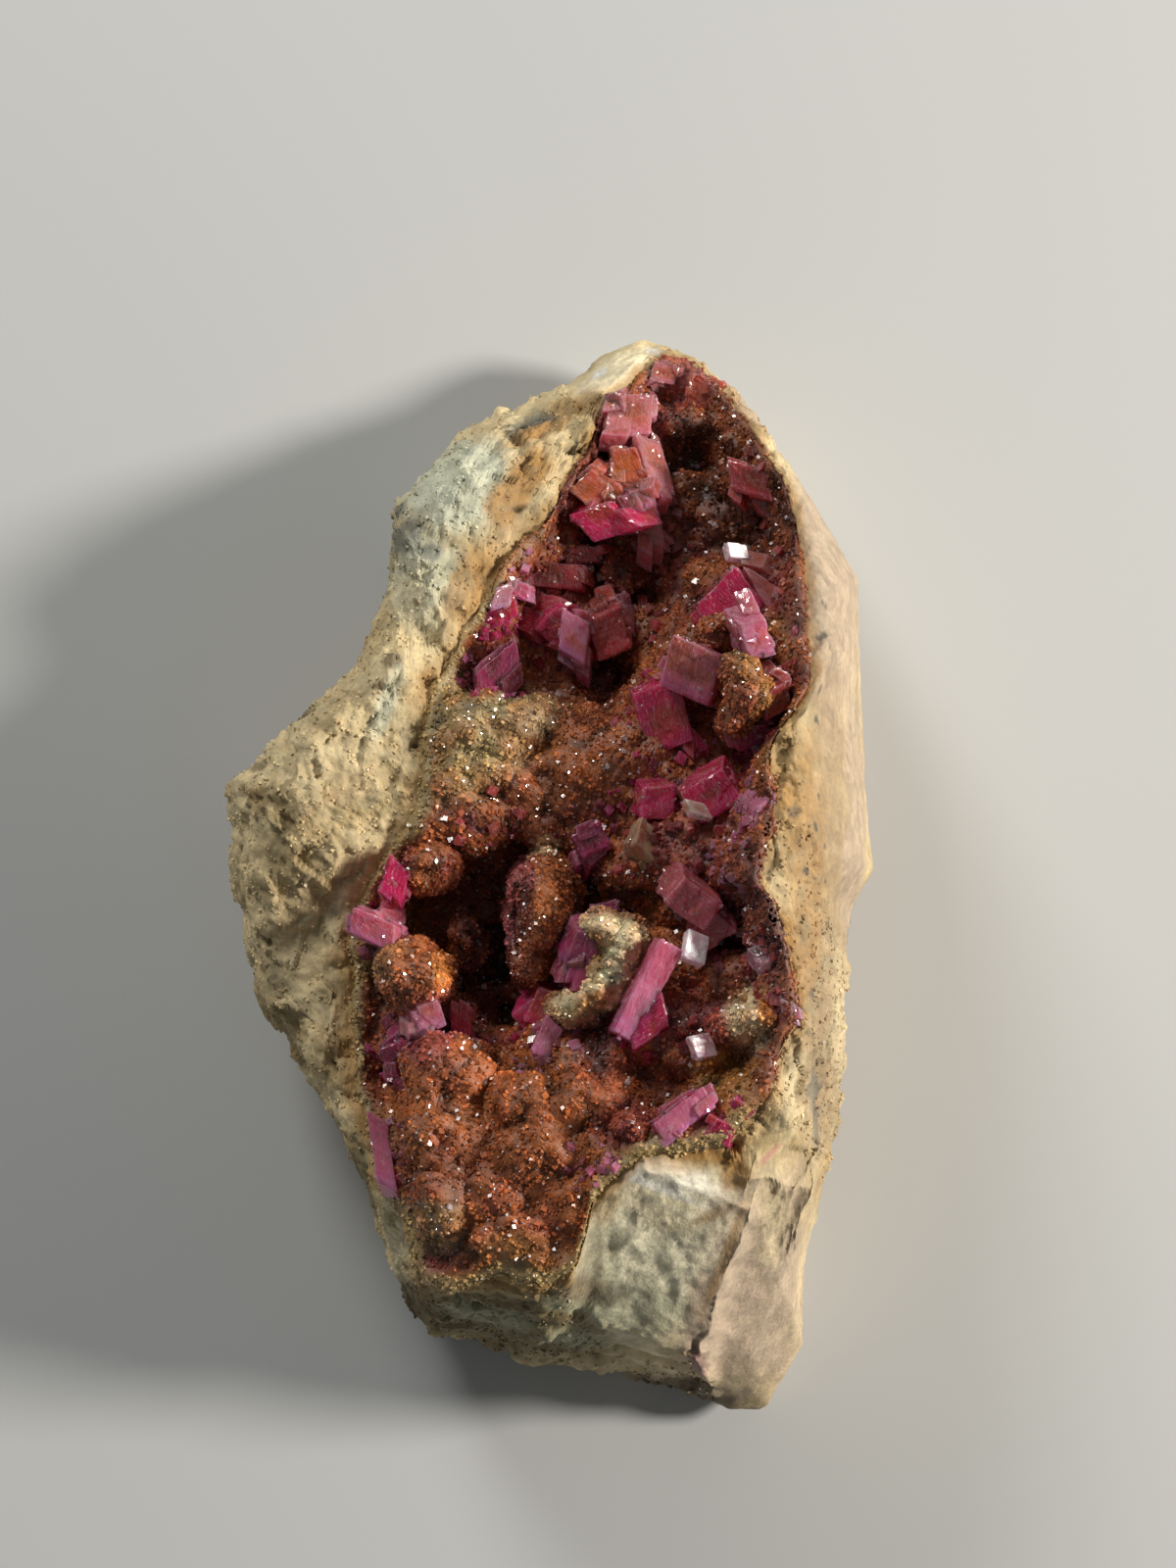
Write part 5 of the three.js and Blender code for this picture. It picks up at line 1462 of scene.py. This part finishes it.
@dataclass(frozen=True)
class Crystal:
    """One rhomb: a block with slightly worn edges and low growth steps.

    Attributes:
        corner: Highest corner.
        edges: Three edges as rows.
        outer: Linear colour of its edges.
        heart: Linear colour that shows in its faces' middles.
        cells: Cells along an edge.
        seed: Which steps.
        worn: Share of the steps' height.
    """

    corner: Array
    edges: Array
    outer: Array
    heart: Array
    cells: int
    seed: int
    worn: float = 1.0

    def surface(self) -> Surface:
        """The crystal's surface: a cube bent to its edges, then chipped and stepped.

        Returns:
            The surface.
        """
        seed, edges = self.seed, self.edges
        cube, faces = block_grid(self.cells)
        rounded = (np.abs(cube) ** 18).sum(axis=1) ** (1 / 18)
        lengths = np.linalg.norm(edges, axis=1)
        own = cube * lengths / 2 + seed % 97
        order = np.sort(np.abs(cube), axis=1)
        edge_chips = smooth(0.2, 0.6, hills(own, 1.7, 3, seed + 5)) * smooth(0.6, 1, order[:, 1])
        shape = cube / rounded[:, None] * (1 - 0.25 * edge_chips / lengths.mean())[:, None]
        points = self.corner + ((shape + 1) / 2) @ edges
        out = np.round(cube * (np.abs(cube) > 0.999))
        out = out / np.maximum(np.linalg.norm(out, axis=1), 1)[:, None]
        terraces = np.floor(4 * hills(own * (0.4, 1.3, 0.9), 2.0, 3, seed)) / 4
        facets = chips(own, 1.5, seed + 4, 1.0, 0.1)[0]
        relief = 0.12 * terraces + 0.03 * hills(own, 0.6, 2, seed + 3) + 0.28 * facets
        points = points + (out @ (edges / lengths[:, None])) * (self.worn * relief)[:, None]
        flip = np.linalg.det(edges) < 0
        tone = self.tone(cube, own, order[:, 1])
        return Surface(points, faces[:, ::-1] if flip else faces, tone, own)

    def tone(self, cube: Array, own: Array, near_edge: Array) -> Array:
        """Colours the crystal: cloudy heart, haze, edges paled as a painted highlight, a painted
        glow at one end, with that side lighter as painted light, and streaks.

        Args:
            cube: Places in the cube, from -1 to 1.
            own: Places along the crystal's edges.
            near_edge: 1 on the edges, less inside the faces.

        Returns:
            Linear colours.
        """
        seed = self.seed
        size = np.linalg.norm(self.edges, axis=1).mean()
        radius = np.sqrt(np.maximum((cube**2).sum(axis=1) - 1, 0))
        cloud = hills(own, 0.6 * size, 4, seed + 7)
        heart = 0.8 * smooth(0.0, 0.8, 0.4 - 0.45 * radius + 1.6 * cloud)
        tone = mix(self.outer, self.heart, heart[:, None])
        haze = smooth(0.25, 0.75, hills(own * (0.5, 1.5, 1), 1.5, 4, seed + 8))
        # Painted highlight: the edges are paled towards white.
        rim = smooth(0.9, 0.99, near_edge) * (0.5 + 0.5 * cloud)
        pale = mix(self.outer, np.array((1.0, 0.72, 0.78)), 0.42)
        tone = mix(tone, pale, np.clip(0.4 * haze + 0.9 * rim, 0, 1)[:, None])
        # Painted glow: the end along the second edge turns more vivid, as if light shone through
        # it.
        painted_glow = smooth(0.25, 1.0, cube[:, 1] + 0.3 * cloud)
        tone = mix(tone, self.outer * (1.35, 0.85, 1.25), 0.6 * painted_glow[:, None])
        streaks = wave(own * (0.3, 2.2, 0.3), 0.9, seed + 12)
        streaks = streaks + 0.7 * wave(own * (0.4, 0.4, 3.5), 1.1, seed + 13)
        tone = tone * (1 + 0.17 * streaks)[:, None]
        # Painted light: the rise along the second edge makes that side lighter, as if lit; the
        # hills are random tone.
        light = 1.08 + 0.2 * hills(own, 1.1, 3, seed + 9) + 0.2 * cube[:, 1]
        return tone * light[:, None]


@dataclass
class Rhombs:
    """The large crystals and the small ones grown through them."""

    seed: int = 5
    large_cells: int = 16
    small_cells: int = 5
    facet_relief: float = 0.4  # share of the growth steps on those that shine white

    def surfaces(self) -> tuple[Surface, Surface, Surface]:
        """All large crystals with smaller ones grown through them.

        Returns:
            The large clear ones, those grown through them, and those that shine white.
        """
        random = np.random.default_rng(self.seed)
        clear, grown, shining = [], [], []
        for k, (name, *row, kind) in enumerate(CRYSTALS):
            corner, edges = edges_of(tuple(row))
            outer, heart = kind.outer, kind.heart
            # Those that shine are faces turned to mirror the key light, coloured near white as a
            # painted glint.
            shines = kind in (Kind.WHITE, Kind.CREAM)
            worn = self.facet_relief if shines else 1.0
            own = Crystal(corner, edges, outer, heart, self.large_cells, 100 + 11 * k, worn)
            (shining if shines else clear).append(own.surface())
            plain = kind in (Kind.WHITE, Kind.CREAM, Kind.GOLD) or name in LONE
            for n in range(random.integers(2, 4) if plain else random.integers(8, 13)):
                size = random.uniform(0.15, 0.3) if plain else random.uniform(0.3, 0.7)
                spot = random.uniform(-0.12, 1.12 - size, 3)
                spot[random.integers(0, 2)] = random.choice((-0.22 * size, 1 - 0.78 * size))
                spot[2] = random.uniform(-0.03, 0.5)
                axis, turn = random.normal(size=3), random.normal(0, 0.4)
                small = size * edges @ np.array(Matrix.Rotation(turn, 3, Vector(axis))).T
                tone = mix(outer, heart, 0.6 * random.random() ** 2) * random.uniform(0.75, 1.25)
                place, steps = corner + spot @ edges, 900 + 13 * k + n
                one = Crystal(place, small, tone, heart, self.small_cells, steps)
                grown.append(one.surface())
        return joined(clear), joined(grown), joined(shining)

    def build(self) -> Surface:
        """Makes the crystals' meshes.

        Returns:
            The surface of the clear ones.
        """
        large, grown, shining = self.surfaces()
        large.build("pink_rhombs", PINK_CLEAR, "crystal", True)
        grown.build("grown_rhombs", PINK_CLEAR, "crystal", True)
        shining.build("white_facets", FACET, "crystal", True)
        return joined([large, grown])


def random_turns(random: np.random.Generator, count: int) -> Array:
    """Evenly spread random rotations, from quaternions with normal random parts.

    Args:
        random: The source of chance.
        count: How many.

    Returns:
        Matrices, shape (count, 3, 3).
    """
    q = random.normal(size=(count, 4))
    w, x, y, z = (q / np.linalg.norm(q, axis=1)[:, None]).T
    rows = (
        (1 - 2 * (y * y + z * z), 2 * (x * y - w * z), 2 * (x * z + w * y)),
        (2 * (x * y + w * z), 1 - 2 * (x * x + z * z), 2 * (y * z - w * x)),
        (2 * (x * z - w * y), 2 * (y * z + w * x), 1 - 2 * (x * x + y * y)),
    )
    return np.stack([np.stack(row, 1) for row in rows], 1)


def upright(axis: Array, aside: Array) -> Array:
    """Rotations that bring the third axis to given directions, by cross products.

    Args:
        axis: The directions.
        aside: Other directions, which settle the turn round the first.

    Returns:
        Matrices, shape (n, 3, 3).
    """
    axis = axis / np.linalg.norm(axis, axis=1)[:, None]
    side = np.cross(axis, aside)
    side = side / np.linalg.norm(side, axis=1)[:, None]
    return np.stack((side, np.cross(axis, side), axis), axis=2)


def mirror_turns(random: np.random.Generator, count: int, skew: Array) -> Array:
    """Rotations that lay a rhomb's face square to the way that mirrors the key light.

    Args:
        random: The source of chance.
        count: How many.
        skew: Edges of the rhomb as columns.

    Returns:
        Matrices, shape (count, 3, 3).
    """
    target = np.array(MIRROR) + random.normal(0, 0.035, (count, 3))
    own = upright(np.cross(skew[:, 0], skew[:, 1])[None], np.array(((1.0, 0.0, 0.0),)))
    return upright(target, random.normal(size=(count, 3))) @ own.transpose(0, 2, 1)


@dataclass(frozen=True)
class Batch:
    """One sort of small rhombs strewn over a surface, half sunk in it.

    Attributes:
        name: The object's name.
        count: How many.
        sizes: Least and greatest edge.
        seed: Which places and turns.
        keep: Where they grow.
        bright: Least and greatest change of the colour under them.
        paint: Gives colours in place of those under them.
        facing: Whether a face of each mirrors the key light up to the camera.
        finish: Their material.
        slot: A name for a material slot, handed on to build.
    """

    name: str
    count: int
    sizes: tuple[float, float]
    seed: int
    keep: Keep
    bright: tuple[float, float]
    paint: Paint | None = None
    facing: bool = False
    finish: Finish = GRAIN
    slot: str = "crystal"

    def over(self, host: Surface) -> Surface:
        """Strews them over a surface.

        Args:
            host: The surface they sit on.

        Returns:
            The rhombs' surface.
        """
        random, count = np.random.default_rng(self.seed), self.count
        a, b, c = (host.points[host.faces[:, k]] for k in range(3))
        cross = np.cross(b - a, c - a)
        area = np.linalg.norm(cross, axis=1)
        normal = cross / np.maximum(area, 1e-12)[:, None]
        weight = area * self.keep((a + b + c) / 3, normal)
        pick = random.choice(len(area), count, p=weight / weight.sum())
        s, t = np.sqrt(random.random(count)), random.random(count)
        shares = (1 - s, s * (1 - t), s * t)
        place = sum(corner[pick] * share[:, None] for corner, share in zip((a, b, c), shares))
        size = self.sizes[0] + (self.sizes[1] - self.sizes[0]) * random.random(count) ** 2.2
        cube, faces = block_grid(1)
        gram = np.full((3, 3), RHOMB_COSINE) + (1 - RHOMB_COSINE) * np.eye(3)
        skew = np.linalg.cholesky(gram)
        turns = mirror_turns(random, count, skew) if self.facing else random_turns(random, count)
        turned = np.einsum("nij,kj->nki", turns, cube @ skew.T / 2)
        raised = place + normal[pick] * (0.12 * size)[:, None]
        points = turned * size[:, None, None] + raised[:, None, :]
        tone = self.bright[0] + (self.bright[1] - self.bright[0]) * random.random(count)
        under = host.colours[host.faces[pick, 0]] if self.paint is None else self.paint(place)
        colours = np.repeat(under * tone[:, None], len(cube), axis=0)
        every = faces[None] + (np.arange(count) * len(cube))[:, None, None]
        return Surface(points.reshape(-1, 3), every.reshape(-1, 3), colours)


@dataclass
class Growth:
    """The grains, sparkles and small rhombs on rock, crust, knobs and clear crystals.

    The rules of where they grow take places and the surface's directions there, and
    return the share to keep, from 0 to 1. The colour rules take places.
    """

    section: Section
    rock: Surface
    crust: Surface
    knobs: Surface
    rhombs: Surface

    def __post_init__(self) -> None:
        """Lists the large crystals' middles and the hues of what grows beside them."""
        blocks = [edges_of(tuple(row[1:-1])) for row in CRYSTALS]
        self.middles = np.array([corner + edges.sum(axis=0) / 2 for corner, edges in blocks])
        pale = (Kind.WHITE, Kind.PALE, Kind.CREAM, Kind.GOLD)
        kinds = (Kind.BRICK if row[-1] in pale else row[-1] for row in CRYSTALS)
        self.hues = np.array([kind.outer for kind in kinds])

    def lining(self, places: Array, normals: Array) -> Array:
        """Places inside the rim that don't face down."""
        return (self.section.inside(places) > -0.6) & (normals[:, 2] > -0.2)

    def sunk(self, places: Array, normals: Array) -> Array:
        """Places well inside the rim, fewer on the pale ridge and the ledge."""
        ridge, ledge = (oval_reach(*places[:, :2].T, area) < 1 for area in BARE_AREAS)
        share = np.where(ridge | ledge, 0.3, 1.0)
        return share * (self.section.inside(places) > 0.9) * self.lining(places, normals)

    def outer(self, places: Array, normals: Array) -> Array:
        """Rough places outside the rim and above the floor."""
        rough = evenness(places[:, 0], places[:, 1]) < 0.3
        return (self.section.inside(places) < 0.3) & (places[:, 2] > 1.5) & rough

    def nearest(self, places: Array) -> tuple[Array, Array]:
        """Distance to the nearest large crystal, and its number."""
        gap = np.linalg.norm(places[:, None, :] - self.middles[None], axis=2)
        return gap.min(axis=1), gap.argmin(axis=1)

    def beside(self, places: Array, normals: Array) -> Array:
        """Places near large crystals, but none at the low right rim."""
        low_right = (places[:, 0] > 12) & (places[:, 1] < -18)
        inside = (self.section.inside(places) > 0.8) & (normals[:, 2] > -0.2) & ~low_right
        return smooth(5, 2.5, self.nearest(places)[0]) * inside

    def hue(self, places: Array) -> Array:
        """Colours small rhombs as the large one beside them, some as the druse."""
        share = smooth(-0.3, 0.6, hills(places, 1.5, 3, 93))[:, None]
        return mix(self.hues[self.nearest(places)[1]], Tint.DRUSE.light, 0.85 * share)

    @staticmethod
    def silver(places: Array) -> Array:
        """Colours sparkles all alike near white: a painted glint on facets that are turned to
        mirror the key light.
        """
        return np.tile(Tint.GLINT_WHITE.light, (len(places), 1))

    @staticmethod
    def starred(places: Array, normals: Array) -> Array:
        """Places at the listed stars that face up."""
        gap = np.linalg.norm(places[:, None, :2] - STARS[None], axis=2).min(axis=1)
        return (gap < 0.45) & (normals[:, 2] > 0)

    def build(self) -> None:
        """Makes the meshes of all small rhombs."""
        rock, crust, knobs = self.rock, self.crust, self.knobs
        hue, silver, starred = self.hue, self.silver, self.starred
        lining, sunk, outer, beside = self.lining, self.sunk, self.outer, self.beside
        fine, dust, tiny = (0.14, 0.36), (0.08, 0.22), (0.1, 0.3)
        coarse, large, wide, even = (0.3, 0.6), (0.12, 0.45), (0.3, 1.0), (0.85, 1.25)
        druse, dim, half, pale = (0.6, 1.8), (0.35, 1.0), (0.6, 1.0), (0.6, 1.3)
        for host, batch in (
            (crust, Batch("fine_druse_a", 15000, fine, 201, lining, druse)),
            (crust, Batch("fine_druse_b", 15000, fine, 205, lining, druse)),
            (crust, Batch("coarse_druse", 900, coarse, 202, sunk, druse)),
            (knobs, Batch("knob_druse", 12000, fine, 203, sunk, druse)),
            (crust, Batch("crust_sparkle", 1800, dust, 207, sunk, dim, silver, True, GLINT)),
            (knobs, Batch("knob_sparkle", 400, dust, 208, sunk, dim, silver, True, GLINT)),
            (self.rhombs, Batch("rhomb_sparkle", 600, dust, 211, sunk, dim, silver, True, GLINT)),
            (crust, Batch("bright_facets", 130, large, 209, starred, half, silver, True, GLINT)),
            (crust, Batch("small_rhombs", 1500, wide, 206, beside, pale, hue, False, PINK_CLEAR)),
            (rock, Batch("rock_grains", 9000, tiny, 204, outer, even, None, False, CHIP, "rock")),
        ):
            batch.over(host).build(batch.name, batch.finish, batch.slot, True)


@dataclass
class Studio:
    """The pale floor, the soft lights and the camera, in metres, watts and degrees."""

    half_floor: float = 3.0
    floor_height: float = -0.05 * MM
    aim: Row = (0.0, 0.0, 0.015)
    # Name, way to it, distance, width, power and colour.
    lamps: tuple[tuple, ...] = (
        ("key", (0.878, 0.07, 0.479), 0.65, 0.115, 5.0, (1.0, 0.95, 0.87)),
        ("second", (-0.38, 0.75, 0.545), 0.6, 0.22, 1.8, (1.0, 0.99, 0.95)),
    )
    room_colour: Row = (0.94, 0.98, 1.0, 1)
    room_strength: float = 0.12
    target: Row = (3.5, 6.25, 20.0)  # what the camera looks at, in millimetres
    elevation: float = 82
    camera_distance: float = 0.3
    lens_length: float = 74.1  # on a frame 36 mm high

    def lay_floor(self) -> None:
        """Lays the floor just under the specimen."""
        mesh = bpy.data.meshes.new("floor")
        half = self.half_floor
        corners = [(-half, -half, 0), (half, -half, 0), (half, half, 0), (-half, half, 0)]
        mesh.from_pydata(corners, [], [(0, 1, 2, 3)])
        floor = bpy.data.objects.new("floor", mesh)
        floor.location.z = self.floor_height
        paper = bpy.data.materials.new("pale paper")
        paper.use_nodes = True
        shader = paper.node_tree.nodes["Principled BSDF"]
        shader.inputs["Base Color"].default_value = (*Tint.PAPER.light, 1)
        shader.inputs["Roughness"].default_value = 0.9
        mesh.materials.append(paper)
        bpy.context.scene.collection.objects.link(floor)

    def light(self) -> None:
        """Hangs the lamps and fills the room with weak light."""
        aim = Vector(self.aim)
        for name, way, distance, size, power, colour in self.lamps:
            lamp = bpy.data.lights.new(name, "AREA")
            lamp.shape = "DISK"
            lamp.size = size
            lamp.energy = power
            lamp.color = colour
            holder = bpy.data.objects.new(name, lamp)
            holder.location = aim + Vector(way).normalized() * distance
            holder.rotation_euler = (aim - holder.location).to_track_quat("-Z", "Y").to_euler()
            bpy.context.scene.collection.objects.link(holder)
        world = bpy.data.worlds.new("soft room")
        world.use_nodes = True
        background = world.node_tree.nodes["Background"].inputs
        background["Color"].default_value = self.room_colour
        background["Strength"].default_value = self.room_strength
        bpy.context.scene.world = world

    def look_through(self) -> None:
        """Sets the camera where the photograph was taken from."""
        lens = bpy.data.cameras.new("camera")
        lens.sensor_fit = "VERTICAL"
        lens.sensor_height = 36
        lens.lens = self.lens_length
        camera = bpy.data.objects.new("camera", lens)
        rise = math.radians(self.elevation)
        back = Vector((0, -math.cos(rise), math.sin(rise))) * self.camera_distance
        camera.location = Vector(self.target) * MM + back
        camera.rotation_euler = (math.pi / 2 - rise, 0, 0)
        bpy.context.scene.collection.objects.link(camera)
        bpy.context.scene.camera = camera
        bpy.context.scene.view_settings.view_transform = "Standard"

    def build(self) -> None:
        """Builds floor, lights and camera."""
        self.lay_floor()
        self.light()
        self.look_through()


def main() -> None:
    """Builds the specimen, its floor, light and camera."""
    logging.basicConfig(level=logging.INFO)
    section = Section()
    rock = MatrixRock(section).build()
    crust = CrystalCrust(section).build()
    knobs = Knobs().build()
    rhombs = Rhombs().build()
    Growth(section, rock, crust, knobs, rhombs).build()
    Studio().build()


if __name__ == "__main__":
    main()
